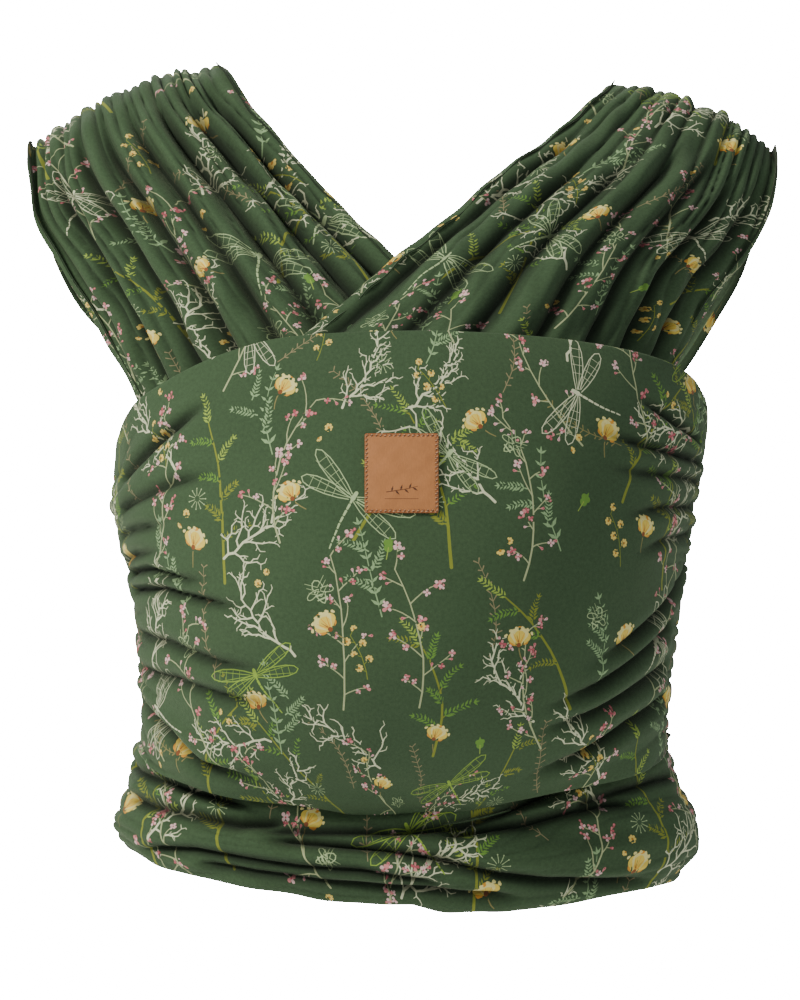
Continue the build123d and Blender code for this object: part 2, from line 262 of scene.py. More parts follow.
class Print:
    """Strokes of one tile of the print, drawn back to front."""

    def __init__(self, seed):
        self.rng = random.Random(seed)
        self.strokes = []

    def stroke(self, x0, y0, x1, y1, r0, r1, ink):
        self.strokes.append((x0, y0, r0, x1, y1, r1, INK_NAMES.index(ink)))

    def dot(self, x, y, radius, ink):
        self.stroke(x, y, x, y + 0.01, radius, radius, ink)

    def bar(self, x, y, heading, half, radius, ink):
        """A short line square to a heading."""
        ends = (*ahead(x, y, heading + QUARTER, half), *ahead(x, y, heading - QUARTER, half))
        self.stroke(*ends, radius, radius, ink)

    def line(self, points, r0, r1, ink):
        last = len(points) - 1
        for i in range(last):
            a, b = r0 + (r1 - r0) * i / last, r0 + (r1 - r0) * (i + 1) / last
            self.stroke(*points[i], *points[i + 1], a, b, ink)

    def curve(self, x, y, heading, length, bend, steps=6):
        """Points of a bending stem, and the heading at each."""
        points, headings = [(x, y)], [heading]
        for _ in range(steps):
            heading += bend / steps + self.rng.uniform(-0.09, 0.09)
            points.append(ahead(*points[-1], heading, length / steps))
            headings.append(heading)
        return points, headings

    def zigzag(self, x, y, heading, length, step, jitter, bend=0.0):
        """Points of an angular twig, and the heading at each."""
        points, headings = [(x, y)], [heading]
        for _ in range(max(2, round(length / step))):
            heading += bend * step / length
            turn = heading + self.rng.choice((-1, 1)) * self.rng.uniform(0.3, 1.0) * jitter
            points.append(ahead(*points[-1], turn, step))
            headings.append(turn)
        return points, headings

    def shoots(self, points, headings, least, most, first=1):
        """Where shoots leave a stem, to one side and the other by turns: number, point, side, heading."""
        side = self.rng.choice((-1, 1))
        for i in range(first, len(points)):
            side = -side
            yield i, points[i], side, headings[i] + side * self.rng.uniform(least, most)

    def leaf(self, x, y, heading, length, width, ink):
        middle = ahead(x, y, heading, length * 0.45)
        self.stroke(x, y, *middle, 0.2, width / 2, ink)
        self.stroke(*middle, *ahead(x, y, heading, length), width / 2, 0.12, ink)

    def feather(self, x, y, heading, length, bend, leaf, ink, stem_ink=None):
        """A stem with pairs of small pointed leaves."""
        points, headings = self.curve(x, y, heading, length, bend, 8)
        self.line(points, 0.42, 0.2, stem_ink or ink)
        for i in range(1, len(points)):
            size = leaf * (1 - 0.45 * i / len(points)) * self.rng.uniform(0.8, 1.15)
            for side in (-1, 1):
                turn = headings[i] + side * self.rng.uniform(0.7, 1.0)
                self.leaf(*points[i], turn, size, size * 0.34, ink)
        self.leaf(*points[-1], headings[-1], leaf * 0.7, leaf * 0.22, ink)

    def coral(self, x, y, heading, length, ink, radius=0.85, depth=2, bend=0.0):
        """A bare angular branch with side branches and stubs."""
        points, headings = self.zigzag(x, y, heading, length, 4.6 if depth else 3.0, 0.42, bend)
        self.line(points, radius, radius * 0.5, ink)
        for i, point, side, turn in self.shoots(points, headings, 0.5, 1.1):
            if depth and self.rng.random() < 0.78:
                reach = max(length * self.rng.uniform(0.24, 0.46) * (1 - 0.5 * i / len(points)), 6.0)
                self.coral(*point, turn, reach, ink, radius * 0.72, depth - 1, -side * 0.5)
            elif self.rng.random() < 0.75:
                stub = ahead(*point, turn, self.rng.uniform(1.4, 3.4))
                self.stroke(*point, *stub, radius * 0.6, radius * 0.45, ink)

    def blossom(self, x, y, size):
        """A small flower: a few uneven petals round a darker middle."""
        inks = self.rng.choice((
            ("pink", "pink_pale"), ("pink_pale", "pink"), ("pink", "pink_deep"), ("pink_pale", "pink_pale"),
        ))
        start = self.rng.uniform(0, 2 * math.pi)
        for i in range(self.rng.choice((3, 4, 4, 5))):
            tip = ahead(x, y, start + i * 1.45, size * self.rng.uniform(0.5, 0.75))
            self.stroke(x, y, *tip, size * 0.14, size * self.rng.uniform(0.28, 0.42), inks[i % 2])
        self.dot(x, y, size * 0.2, "pink_deep")

    def bud(self, x, y, heading, size):
        ink, tip = self.rng.choice((("pink", "pink_deep"), ("pink_pale", "pink"), ("pink_deep", "pink")))
        end = ahead(x, y, heading, size)
        self.stroke(x, y, *end, size * 0.2, size * 0.55, ink)
        self.stroke(*end, *ahead(*end, heading + 0.7, size * 0.3), size * 0.28, size * 0.2, tip)

    def blossom_twig(self, x, y, heading, length, bend, stem="twig"):
        """A long curving twig with small flowers and buds at the ends of its shoots."""
        points, headings = self.curve(x, y, heading, length, bend, max(5, round(length / 11)))
        self.line(points, 0.62, 0.32, stem)
        for _, point, side, turn in self.shoots(points, headings, 0.45, 1.0):
            reach = self.rng.uniform(9, 24)
            twig, turns = self.curve(*point, turn, reach, side * self.rng.uniform(-0.9, 0.9), 4)
            self.line(twig, 0.4, 0.24, stem)
            for place in range(1, 5):
                if self.rng.random() < 0.55:
                    sprout = turns[place] + self.rng.choice((-1, 1)) * self.rng.uniform(0.6, 1.2)
                    tip = ahead(*twig[place], sprout, 2.6)
                    self.stroke(*twig[place], *tip, 0.26, 0.2, stem)
                    if self.rng.random() < 0.45:
                        self.blossom(*tip, self.rng.uniform(1.9, 2.6))
                    else:
                        self.bud(*tip, sprout, self.rng.uniform(1.3, 1.9))
            self.blossom(*twig[-1], self.rng.uniform(2.2, 3.2))
            if self.rng.random() < 0.4:
                self.bud(twig[-1][0] + 2, twig[-1][1] + 1.5, turns[-1], 1.7)

    def olive_stem(self, x, y, heading, length, bend):
        """A stout green stem that forks into sprays of small leaves."""
        points, headings = self.curve(x, y, heading, length, bend, 8)
        self.line(points, 1.05, 0.45, "olive")
        for _, point, side, turn in self.shoots(points, headings, 0.4, 0.8, first=2):
            ink = self.rng.choice(("leaf", "lime", "olive", "leaf"))
            if self.rng.random() < 0.8:
                reach = self.rng.uniform(14, 26)
                self.feather(*point, turn, reach, side * 0.5, self.rng.uniform(4.0, 5.5), ink, "olive")
        self.feather(*points[-1], headings[-1], 20, 0.3, 4.5, "lime", "olive")

    def poppy(self, x, y, heading, size):
        """A cup of petals seen from the side, on a short stem."""
        stem, _ = self.curve(x, y, heading + math.pi, size * 0.9, 0.5, 3)
        self.line(stem, 0.42, 0.3, "twig_brown")
        self.stroke(x, y, *ahead(x, y, heading, size * 0.1), size * 0.1, size * 0.14, "poppy_dark")
        for spread, reach, wide, ink in (
            (-1.05, 0.5, 0.2, "poppy_deep"), (1.05, 0.5, 0.2, "poppy_deep"), (0.0, 0.86, 0.3, "poppy_deep"),
            (-0.75, 0.74, 0.26, "poppy"), (0.75, 0.72, 0.26, "poppy"), (0.32, 0.8, 0.27, "poppy_pale"),
            (-0.34, 0.78, 0.28, "poppy_pale"), (0.0, 0.56, 0.3, "poppy"),
        ):
            turn = heading + spread + self.rng.uniform(-0.06, 0.06)
            reach *= self.rng.uniform(0.94, 1.06)
            self.stroke(x, y, *ahead(x, y, turn, size * reach * 0.72), size * 0.1, size * wide, ink)
        for spread in (-0.95, -0.6, -0.25, 0.12, 0.5, 0.9):
            rim = ahead(x, y, heading + spread, size * 0.86)
            self.stroke(*rim, *ahead(*rim, heading + spread + 1.4, 1), size * 0.05, size * 0.07, "poppy_pale")
        for spread, reach, ink in (
            (-0.55, 0.66, "poppy_deep"), (-0.1, 0.66, "poppy_deep"), (0.4, 0.66, "poppy_deep"),
            (0.15, 0.5, "poppy_dark"),
        ):
            root = ahead(x, y, heading + spread, size * 0.16)
            self.stroke(*root, *ahead(x, y, heading + spread + 0.1, size * reach), 0.34, 0.12, ink)
        self.dot(x, y, size * 0.12, "poppy_dark")

    def daisy(self, x, y, size, half=False):
        petals, round_by = (4, math.pi) if half else (7, 2 * math.pi)
        start = self.rng.uniform(0, 2 * math.pi)
        for i in range(petals):
            tip = ahead(x, y, start + i * round_by / petals, size * 0.62)
            self.stroke(x, y, *tip, size * 0.14, size * 0.27, "yellow")
        self.dot(x, y, size * 0.26, "ochre")

    def daisy_sprig(self, x, y, heading, length):
        points, headings = self.curve(x, y, heading, length, 0.5, 6)
        self.line(points, 0.3, 0.2, "olive")
        for i in range(1, len(points)):
            tip = ahead(*points[i], headings[i] + (1 if i % 2 else -1), 5)
            self.stroke(*points[i], *tip, 0.22, 0.2, "olive")
            self.daisy(*tip, self.rng.uniform(2.2, 3.2))

    def ring(self, x, y, heading, length, width, radius, ink, steps=12):
        """The outline of a long wing or body, from a point at its root."""
        points = []
        for i in range(steps + 1):
            turn = 2 * math.pi * i / steps
            along = length / 2 * (1 - math.cos(turn))
            across = width / 2 * math.sin(turn) * (0.6 + 0.5 * along / length)
            points.append(ahead(*ahead(x, y, heading, along), heading + QUARTER, across))
        self.line(points, radius, radius, ink)

    def dragonfly(self, x, y, heading, size, ink):
        for spread, length in ((1.25, 0.62), (1.75, 0.56)):
            for side in (-1, 1):
                turn = heading + side * spread
                self.ring(x, y, turn, size * length, size * 0.15, 0.28, ink)
                for share in (-0.08, 0.12):
                    self.stroke(x, y, *ahead(x, y, turn + share, size * length * 0.86), 0.2, 0.13, ink)
                for cut in (0.35, 0.5, 0.65, 0.8):
                    self.bar(*ahead(x, y, turn, size * length * cut), turn, size * 0.055, 0.13, ink)
        body, _ = self.curve(x, y, heading + math.pi, size * 0.55, 0.15, 8)
        for i, (bx, by) in enumerate(body[:-1]):
            ex, ey = body[i + 1]
            radius = 0.85 - 0.05 * i
            self.stroke(bx, by, bx + (ex - bx) * 0.6, by + (ey - by) * 0.6, radius, radius - 0.1, ink)
        self.stroke(x, y, *ahead(x, y, heading, size * 0.06), 1.5, 1.2, ink)

    def bee(self, x, y, heading, size, ink):
        self.ring(*ahead(x, y, heading, -size * 0.5), heading, size, size * 0.5, 0.3, ink)
        for cut in (-0.3, -0.12, 0.06):
            self.bar(*ahead(x, y, heading, size * cut), heading, size * 0.2, 0.45, ink)
        for side in (-1, 1):
            root = ahead(x, y, heading, size * 0.1)
            self.ring(*root, heading + side * 1.9, size * 0.62, size * 0.28, 0.22, ink)
            for leg in (0.2, 0.0, -0.2):
                root = ahead(x, y, heading, size * leg)
                self.stroke(*root, *ahead(*root, heading + side * 0.9, size * 0.55), 0.18, 0.12, ink)

    def thistle(self, x, y, size, ink):
        for i in range(11):
            turn = 2 * math.pi * i / 11
            tip = ahead(x, y, turn, size)
            self.stroke(*ahead(x, y, turn, size * 0.3), *tip, 0.16, 0.2, ink)
            self.dot(*tip, 0.42, ink)

    def wisp(self, x, y, heading, length, bend, ink):
        """A soft sprig of short dashes."""
        points, headings = self.curve(x, y, heading, length, bend, 12)
        self.line(points, 0.3, 0.18, ink)
        for point, way in zip(points[1:], headings[1:]):
            for side in (-1, 1):
                turn = way + side * self.rng.uniform(0.5, 1.2)
                self.stroke(*point, *ahead(*point, turn, self.rng.uniform(2.0, 4.5)), 0.24, 0.4, ink)

    def broad_leaf(self, x, y, heading, size, ink):
        for spread in (-0.5, 0.5, 0.0):
            self.stroke(x, y, *ahead(x, y, heading + spread, size * 0.5), size * 0.2, size * 0.3, ink)
        self.stroke(x, y, *ahead(x, y, heading, size * 1.05), size * 0.42, 0.2, ink)
        self.line([ahead(x, y, heading, -size * 1.1), (x, y)], 0.3, 0.3, "lime")


def meadow():
    """One tile of the print: each kind of motif at its places, from the undermost to the uppermost."""
    ink = Print(41)
    up = QUARTER
    for x, y, lean, length, bend, tone in (
        (70, 130, -0.6, 66, 0.7, "beige"), (200, 150, 0.3, 70, -0.6, "beige"),
        (285, 60, -0.2, 64, 0.8, "beige"), (130, 260, 0.8, 66, -0.8, "beige"),
        (320, 300, 0.4, 60, 0.6, "beige"), (55, 365, -0.4, 60, 0.7, "beige"),
        (150, 95, 1.2, 60, -0.5, "twig_brown"), (240, 350, -0.9, 62, 0.4, "beige"),
        (20, 240, 0.1, 60, 0.5, "beige"),
    ):
        ink.wisp(x, y, up + lean, length, bend, tone)
    for x, y, lean, length, bend in (
        (30, 20, 0, 100, 0.5), (150, 60, -0.3, 95, -0.6), (262, 20, 0.2, 105, 0.4), (92, 205, 0.4, 92, -0.5),
        (215, 210, -0.1, 100, 0.6), (300, 235, -0.4, 92, -0.4), (25, 290, -0.2, 84, 0.5),
        (120, 330, 0.5, 90, 0.5), (200, 5, 0.2, 70, -0.5),
    ):
        ink.olive_stem(x, y, up + lean, length, bend)
    for x, y, lean, length, bend in (
        (58, 60, 0.5, 74, 0.6), (205, 30, -0.4, 70, -0.5), (312, 80, 0.6, 66, 0.5), (120, 150, -0.7, 70, 0.6),
        (262, 165, 0.9, 66, -0.6), (40, 215, -0.5, 68, -0.5), (175, 280, 0.6, 72, 0.5),
        (290, 320, -0.6, 66, 0.5), (95, 320, 0.9, 62, -0.4), (230, 105, 1.3, 60, 0.4),
        (5, 120, -1.0, 58, 0.5), (215, 225, -1.1, 60, 0.5),
    ):
        ink.coral(x, y, up + lean, length, "cream", bend=bend)
    for x, y, lean, length, bend in (
        (100, 30, 0.5, 62, -0.6), (235, 95, -0.4, 64, 0.7), (18, 150, -0.5, 58, 0.5),
        (180, 190, 0.6, 62, -0.5), (318, 190, 0.2, 58, 0.4), (140, 345, 0, 56, 0.6),
        (246, 290, 0.5, 56, -0.5),
    ):
        ink.feather(x, y, up + lean, length, bend, 6.5, "fern")
        for share in (0.3, 0.5, 0.7):
            turn = up + lean + ink.rng.choice((-0.8, 0.8))
            ink.feather(*ahead(x, y, up + lean, length * share), turn, 18, 0.4, 4.4, "fern")
    for x, y, lean, length, bend in (
        (75, 12, -0.4, 105, 0.9), (180, 88, 0.5, 98, -0.9), (290, 128, -0.2, 100, 0.8),
        (40, 165, 0.4, 96, -0.8), (150, 218, -0.6, 100, 0.9), (255, 235, 0.5, 96, -0.9),
        (12, 330, -0.2, 92, 0.8), (205, 330, -0.5, 98, 0.9), (108, 300, 0.8, 88, -0.8), (228, 10, 0.6, 92, -0.7),
        (120, 95, 0.9, 80, -0.7), (325, 20, 0.7, 80, -0.9),
    ):
        ink.blossom_twig(x, y, up + lean, length, bend)
    for x, y, heading, size, tone in (
        (122, 128, 2.6, 62, "cream"), (300, 262, 1.0, 64, "pale_green"), (45, 262, 2.2, 60, "wing_lime"),
        (212, 372, 0.5, 58, "cream"), (232, 152, 1.9, 56, "wing_lime"), (30, 90, 0.8, 54, "pale_green"),
    ):
        ink.dragonfly(x, y, heading, size, tone)
    for x, y, heading, size in (
        (172, 170, 2.5, 15), (72, 96, 0.6, 14), (280, 205, 2.0, 15), (130, 388, 1.2, 14), (325, 40, 0.4, 13),
    ):
        ink.bee(x, y, heading, size, "pale_green")
    for x, y, size in ((98, 245, 7), (250, 60, 6.5), (20, 60, 6), (195, 262, 6.5), (316, 350, 7)):
        ink.thistle(x, y, size, "pale_green")
    for x, y, lean, length in (
        (148, 20, 0, 34), (30, 120, 0.3, 32), (268, 352, -0.3, 34), (165, 282, 0.2, 30), (308, 150, 0, 30),
    ):
        ink.daisy_sprig(x, y, up + lean, length)
    for x, y in (
        (60, 30), (112, 92), (196, 128), (240, 210), (84, 182), (28, 208), (276, 300), (180, 246), (322, 12),
        (150, 330), (300, 88), (12, 384), (66, 36), (118, 100), (202, 121), (246, 217), (282, 307),
        (186, 253),
    ):
        ink.daisy(x, y, ink.rng.uniform(2.4, 3.4), half=ink.rng.random() < 0.4)
    for x, y, heading in ((200, 75, 1.2), (60, 300, 1.8), (322, 232, 1.4), (118, 60, 0.9)):
        ink.broad_leaf(x, y, heading, 6.5, "leaf")
    for x, y, heading, size in (
        (52, 108, 2.2, 13), (138, 100, 1.0, 14), (228, 130, 1.7, 13), (310, 60, 1.1, 12.5),
        (96, 222, 2.0, 13.5), (190, 232, 1.2, 14), (286, 182, 2.3, 13), (24, 305, 1.2, 13),
        (160, 372, 2.0, 13.5), (246, 330, 1.0, 13), (74, 372, 1.6, 12.5), (320, 378, 1.9, 12.5), (170, 40, 1.2, 13),
        (262, 262, 2.1, 12.5),
    ):
        ink.poppy(x, y, heading, size)
    return np.array(ink.strokes, float)


MEADOW = meadow()


def blank_strokes(count):
    """No stroke for any of a number of faces: radii under zero draw nothing."""
    strokes = np.zeros((STROKES_PER_FACE, count, 7))
    strokes[:, :, [2, 5]] = -1.0
    return strokes


def meadow_over(low, high):
    """The print's strokes on the cloth between two corners."""
    tiles = []
    for column in range(math.floor(low[0] / TILE_WIDTH) - 1, math.floor(high[0] / TILE_WIDTH) + 2):
        drop = TILE_HEIGHT / 2 if column % 2 else 0.0
        first = math.floor((low[1] - drop) / TILE_HEIGHT) - 1
        for row in range(first, math.floor((high[1] - drop) / TILE_HEIGHT) + 1):
            tile = MEADOW.copy()
            tile[:, [0, 3]] += column * TILE_WIDTH
            tile[:, [1, 4]] += row * TILE_HEIGHT + drop
            tiles.append(tile)
    return np.concatenate(tiles)


def strokes_by_face(centres, reaches, strokes=None):
    """For each face, the strokes that cross it, topmost last: two ends with radii, and an ink."""
    low, high = centres.min(0) - 10, centres.max(0) + 10
    if strokes is None:
        strokes = meadow_over(low, high)
    margin = strokes[:, [2, 5]].max(1)[:, None] + 3
    starts, ends = strokes[:, 0:2], strokes[:, 3:5]
    near = (np.minimum(starts, ends) - margin < high) & (np.maximum(starts, ends) + margin > low)
    strokes = strokes[near.all(1)]
    starts, ends, widest = strokes[:, 0:2], strokes[:, 3:5], strokes[:, [2, 5]].max(1)

    # sort the faces and the strokes into square cells, so that only near ones are measured
    cell = 4.0
    columns = int((high[0] - low[0]) / cell) + 2
    face_cells = (((centres - low) / cell).astype(int) * np.array([1, columns])).sum(1)
    order = np.argsort(face_cells, kind="stable")
    sorted_cells = face_cells[order]
    counts = np.ceil(np.linalg.norm(ends - starts, axis=1) / (cell * 0.5)).astype(int) + 1
    owner = np.repeat(np.arange(len(strokes)), counts)
    place = np.concatenate([np.linspace(0, 1, c) for c in counts])[:, None]
    at = ((starts[owner] * (1 - place) + ends[owner] * place - low) / cell).astype(int)
    spans = np.ceil((widest[owner] + float(reaches.max()) + EDGE_BLUR) / cell).astype(int)
    pairs = []
    for span in np.unique(spans):
        pick = spans == span
        for dx in range(-span, span + 1):
            for dy in range(-span, span + 1):
                x, y = at[pick, 0] + dx, at[pick, 1] + dy
                inside = (x >= 0) & (y >= 0) & (x < columns)
                pairs.append(np.stack([x[inside] + y[inside] * columns, owner[pick][inside]], axis=1))
    pairs = np.unique(np.concatenate(pairs), axis=0)
    first = np.searchsorted(sorted_cells, pairs[:, 0], side="left")
    number = np.searchsorted(sorted_cells, pairs[:, 0], side="right") - first
    stroke = np.repeat(pairs[:, 1], number)
    face = order[np.repeat(first - np.cumsum(number) + number, number) + np.arange(len(stroke))]

    # keep the pairs that touch, and of those the uppermost few of each face
    offset, run = centres[face] - starts[stroke], (ends - starts)[stroke]
    along = np.clip((offset * run).sum(1) / np.maximum((run * run).sum(1), 1e-6), 0, 1)
    gap = np.linalg.norm(offset - along[:, None] * run, axis=1)
    r0, r1 = strokes[stroke, 2], strokes[stroke, 5]
    touching = gap < r0 + (r1 - r0) * along + reaches[face] + EDGE_BLUR
    face, stroke = face[touching], stroke[touching]
    order = np.lexsort((stroke, face))
    face, stroke = face[order], stroke[order]
    from_top = np.searchsorted(face, face, side="right") - 1 - np.arange(len(face))
    keep = from_top < STROKES_PER_FACE
    found = blank_strokes(len(centres))
    found[STROKES_PER_FACE - 1 - from_top[keep], face[keep]] = strokes[stroke[keep]]
    return found


# ----------------------------------------------------------------------------------------------
# Cloth meshes
# ----------------------------------------------------------------------------------------------
FLAT = (1.0, 1.0, 0.0)      # the part of a cloth place that is on the cloth
DOWN_IN = (0.0, 0.0, 1.0)   # and the part that holds a shade amount: painted shade deep in a fold on the cloth, the darker edge and stitch groove on the leather


def unit(vectors):
    return vectors / np.maximum(np.linalg.norm(vectors, axis=-1, keepdims=True), 1e-9)


def grid_normals(points, outward):
    """Unit normals of a grid. outward is -1 where rows and columns turn the other way round."""
    return unit(np.cross(np.gradient(points, axis=0), np.gradient(points, axis=1))) * outward


def new_object(name, data):
    made = bpy.data.objects.new(name, data)
    bpy.context.scene.collection.objects.link(made)
    return made


def turn_in(points, outward, cloth_place, radius, flap, steps=5):
    """Turns both long edges of a grid in and under itself, as gathered cloth rolls at its edges.

    cloth_place holds where each point is along and across the flat cloth, and how much painted shade it gets deep
    in a fold.
    """
    normals = grid_normals(points, outward)
    sides = []
    for edge, inner in ((0, 1), (-1, -2)):
        away = unit(points[:, edge] - points[:, inner])
        across = unit((cloth_place[:, edge] - cloth_place[:, inner]) * FLAT)
        rolled, places = [], []
        for i in range(1, steps + 1):
            turn = math.pi * i / steps
            under = normals[:, edge] * radius * (1 - math.cos(turn))
            rolled.append(points[:, edge] + away * radius * math.sin(turn) - under)
            places.append(cloth_place[:, edge] + across * radius * turn)
        for i in (1, 2):
            rolled.append(rolled[steps - 1] - away * flap * i / 2)
            places.append(cloth_place[:, edge] + across * (radius * math.pi + flap * i / 2))
        sides.append((np.stack(rolled, axis=1), np.stack(places, axis=1)))
    (start, start_place), (end, end_place) = sides
    return (
        np.concatenate([start[:, ::-1], points, end], axis=1),
        np.concatenate([start_place[:, ::-1], cloth_place, end_place], axis=1),
    )


def add_layer(mesh, name, kind, domain, values):
    field = "value" if kind == "FLOAT" else "vector"
    layer = mesh.attributes.new(name, kind, domain)
    layer.data.foreach_set(field, np.ascontiguousarray(values, np.float32).ravel())


def shell(
    name, points, cloth_place, outward, materials,
    strokes=None, printed=True, thickness=JERSEY, inner=None,
):
    """A closed sheet whose outer face is the grid of points, printed with strokes, or with the meadow."""
    rows, columns = points.shape[:2]
    if inner is None:
        inner = points - grid_normals(points, outward) * thickness
    count = rows * columns
    vertices = np.concatenate([points.reshape(-1, 3), inner.reshape(-1, 3)]) * MM
    index = np.arange(count).reshape(rows, columns)
    corners = (index[:-1, :-1], index[1:, :-1], index[1:, 1:], index[:-1, 1:])
    outer = np.stack(corners, axis=-1).reshape(-1, 4)
    if outward < 0:
        outer = outer[:, ::-1]
    faces = [outer, outer[:, ::-1] + count]
    for edge in (index[0, :], index[:, -1], index[-1, ::-1], index[::-1, 0]):
        rim = np.stack([edge[:-1], edge[1:], edge[1:] + count, edge[:-1] + count], axis=-1)
        faces.append(rim if outward < 0 else rim[:, ::-1])
    faces = np.concatenate(faces)
    mesh = bpy.data.meshes.new(name)
    mesh.vertices.add(len(vertices))
    mesh.vertices.foreach_set("co", vertices.astype(np.float32).ravel())
    mesh.loops.add(faces.size)
    mesh.loops.foreach_set("vertex_index", faces.astype(np.int32).ravel())
    mesh.polygons.add(len(faces))
    mesh.polygons.foreach_set("loop_start", np.arange(0, faces.size, 4, dtype=np.int32))
    material = np.zeros(len(faces), np.int32)
    material[len(outer):2 * len(outer)] = 1
    mesh.polygons.foreach_set("material_index", material)
    mesh.update(calc_edges=True)
    mesh.validate()
    mesh.polygons.foreach_set("use_smooth", np.ones(len(mesh.polygons), bool))
    flat = cloth_place.reshape(-1, 3)
    add_layer(mesh, "cloth_place", "FLOAT_VECTOR", "POINT", np.concatenate([flat] * 2))
    if printed:
        corners = flat[outer, :2]
        centres = corners.mean(1)
        reaches = np.minimum(np.linalg.norm(corners - centres[:, None], axis=2).max(1), 8.0)
        ink = strokes_by_face(centres, reaches, strokes)
        ink = np.concatenate([ink, blank_strokes(len(faces) - len(outer))], axis=1)
        for k in range(STROKES_PER_FACE):
            add_layer(mesh, f"stroke{k}_a", "FLOAT_VECTOR", "FACE", ink[k, :, 0:3])
            add_layer(mesh, f"stroke{k}_b", "FLOAT_VECTOR", "FACE", ink[k, :, 3:6])
            add_layer(mesh, f"stroke{k}_ink", "FLOAT", "FACE", ink[k, :, 6])
    for one in materials:
        mesh.materials.append(one)
    return new_object(name, mesh)


# ----------------------------------------------------------------------------------------------
# Materials
# ----------------------------------------------------------------------------------------------
def linear(colour):
    """A colour of 0 to 255, as a renderer takes it."""
    shares = [c / 255 for c in colour]
    return tuple(c / 12.92 if c <= 0.04045 else ((c + 0.055) / 1.055) ** 2.4 for c in shares) + (1.0,)


class Nodes:
    """Short ways to add nodes to a tree."""

    def __init__(self, tree):
        self.tree = tree

    def add(self, kind, **settings):
        node = self.tree.nodes.new(kind)
        for name, value in settings.items():
            setattr(node, name, value)
        return node

    def give(self, socket, value):
        if isinstance(value, bpy.types.NodeSocket):
            self.tree.links.new(value, socket)
        else:
            socket.default_value = value

    def feed(self, node, inputs):
        """Gives a node's inputs, by name or number, their constants or links."""
        for name, value in inputs.items():
            self.give(node.inputs[name], value)
        return node

    def maths(self, operation, *values, clamp=False):
        node = self.add("ShaderNodeMath", operation=operation, use_clamp=clamp)
        return self.feed(node, dict(enumerate(values))).outputs[0]

    def vector(self, operation, *values):
        node = self.feed(self.add("ShaderNodeVectorMath", operation=operation), dict(enumerate(values)))
        return node.outputs["Value" if operation in ("DOT_PRODUCT", "LENGTH") else "Vector"]

    def scaled(self, vector, scale):
        node = self.add("ShaderNodeVectorMath", operation="SCALE")
        return self.feed(node, {0: vector, "Scale": scale}).outputs["Vector"]

    def attribute(self, name, output="Vector"):
        return self.add("ShaderNodeAttribute", attribute_name=name).outputs[output]

    def mix(self, factor, a, b, blend="MIX"):
        node = self.add("ShaderNodeMix", data_type="RGBA", blend_type=blend)
        return self.feed(node, {0: factor, 6: a, 7: b}).outputs[2]

    def sum(self, first, first_weight, second, second_weight, more=0.0):
        """Two values added in proportion, and a constant."""
        both = (self.maths("MULTIPLY", first, first_weight), self.maths("MULTIPLY", second, second_weight))
        return self.maths("ADD", self.maths("ADD", *both), more)

    def shaded(self, colour, shade):
        """A colour made darker or lighter by a value."""
        grey = self.feed(self.add("ShaderNodeCombineColor"), {0: shade, 1: shade, 2: shade})
        return self.mix(1.0, colour, grey.outputs[0], "MULTIPLY")

    def noise(self, place, scale, detail=2.0, roughness=0.5):
        inputs = {"Vector": place, "Scale": scale, "Detail": detail, "Roughness": roughness}
        return self.feed(self.add("ShaderNodeTexNoise"), inputs).outputs[0]

    def relief(self, shader, height, strength, distance):
        """Fine relief as bump, under the detail that the mesh has."""
        inputs = {"Strength": strength, "Distance": distance, "Height": height}
        self.give(shader.inputs["Normal"], self.feed(self.add("ShaderNodeBump"), inputs).outputs[0])

    def printed(self, place, ground):
        """The strokes that each face carries, over the ground's colour."""
        for k in range(STROKES_PER_FACE):
            inputs = {
                "Place": place, "A": self.attribute(f"stroke{k}_a"), "B": self.attribute(f"stroke{k}_b"),
                "Ink": self.attribute(f"stroke{k}_ink", "Fac"), "Under": ground,
            }
            ground = self.feed(self.add("ShaderNodeGroup", node_tree=STROKE_GROUP), inputs).outputs[0]
        return ground


def stroke_group():
    """Cloth place and one stroke in, colour of the cloth with that stroke over it out."""
    tree = bpy.data.node_groups.new("printed_stroke", "ShaderNodeTree")
    for name, kind in (
        ("Place", "Vector"), ("A", "Vector"), ("B", "Vector"), ("Ink", "Float"), ("Under", "Color"),
    ):
        tree.interface.new_socket(name, in_out="INPUT", socket_type=f"NodeSocket{kind}")
    tree.interface.new_socket("Colour", in_out="OUTPUT", socket_type="NodeSocketColor")
    n = Nodes(tree)
    given = n.add("NodeGroupInput").outputs
    start = n.vector("MULTIPLY", given["A"], FLAT)
    to_place = n.vector("SUBTRACT", n.vector("MULTIPLY", given["Place"], FLAT), start)
    to_end = n.vector("SUBTRACT", n.vector("MULTIPLY", given["B"], FLAT), start)
    square = n.maths("MAXIMUM", n.vector("DOT_PRODUCT", to_end, to_end), 1e-6)
    along = n.maths("DIVIDE", n.vector("DOT_PRODUCT", to_place, to_end), square, clamp=True)
    gap = n.vector("LENGTH", n.vector("SUBTRACT", to_place, n.scaled(to_end, along)))
    r0, r1 = (n.vector("DOT_PRODUCT", given[end], (0.0, 0.0, 1.0)) for end in ("A", "B"))
    radius = n.maths("ADD", r0, n.maths("MULTIPLY", along, n.maths("SUBTRACT", r1, r0)))
    edge = n.maths("DIVIDE", n.maths("SUBTRACT", radius, gap), 2 * EDGE_BLUR)
    cover = n.maths("ADD", edge, 0.5, clamp=True)
    ramp = n.add("ShaderNodeValToRGB")
    ramp.color_ramp.interpolation = "CONSTANT"
    elements = ramp.color_ramp.elements
    for i, name in enumerate(INK_NAMES):
        element = elements[i] if i < 2 else elements.new(i / len(INK_NAMES))
        element.position = i / len(INK_NAMES)
        element.color = linear(INKS[name])
    n.give(ramp.inputs[0], n.maths("DIVIDE", n.maths("ADD", given["Ink"], 0.5), float(len(INK_NAMES))))
    n.give(n.add("NodeGroupOutput").inputs[0], n.mix(cover, given["Under"], ramp.outputs[0]))
    return tree


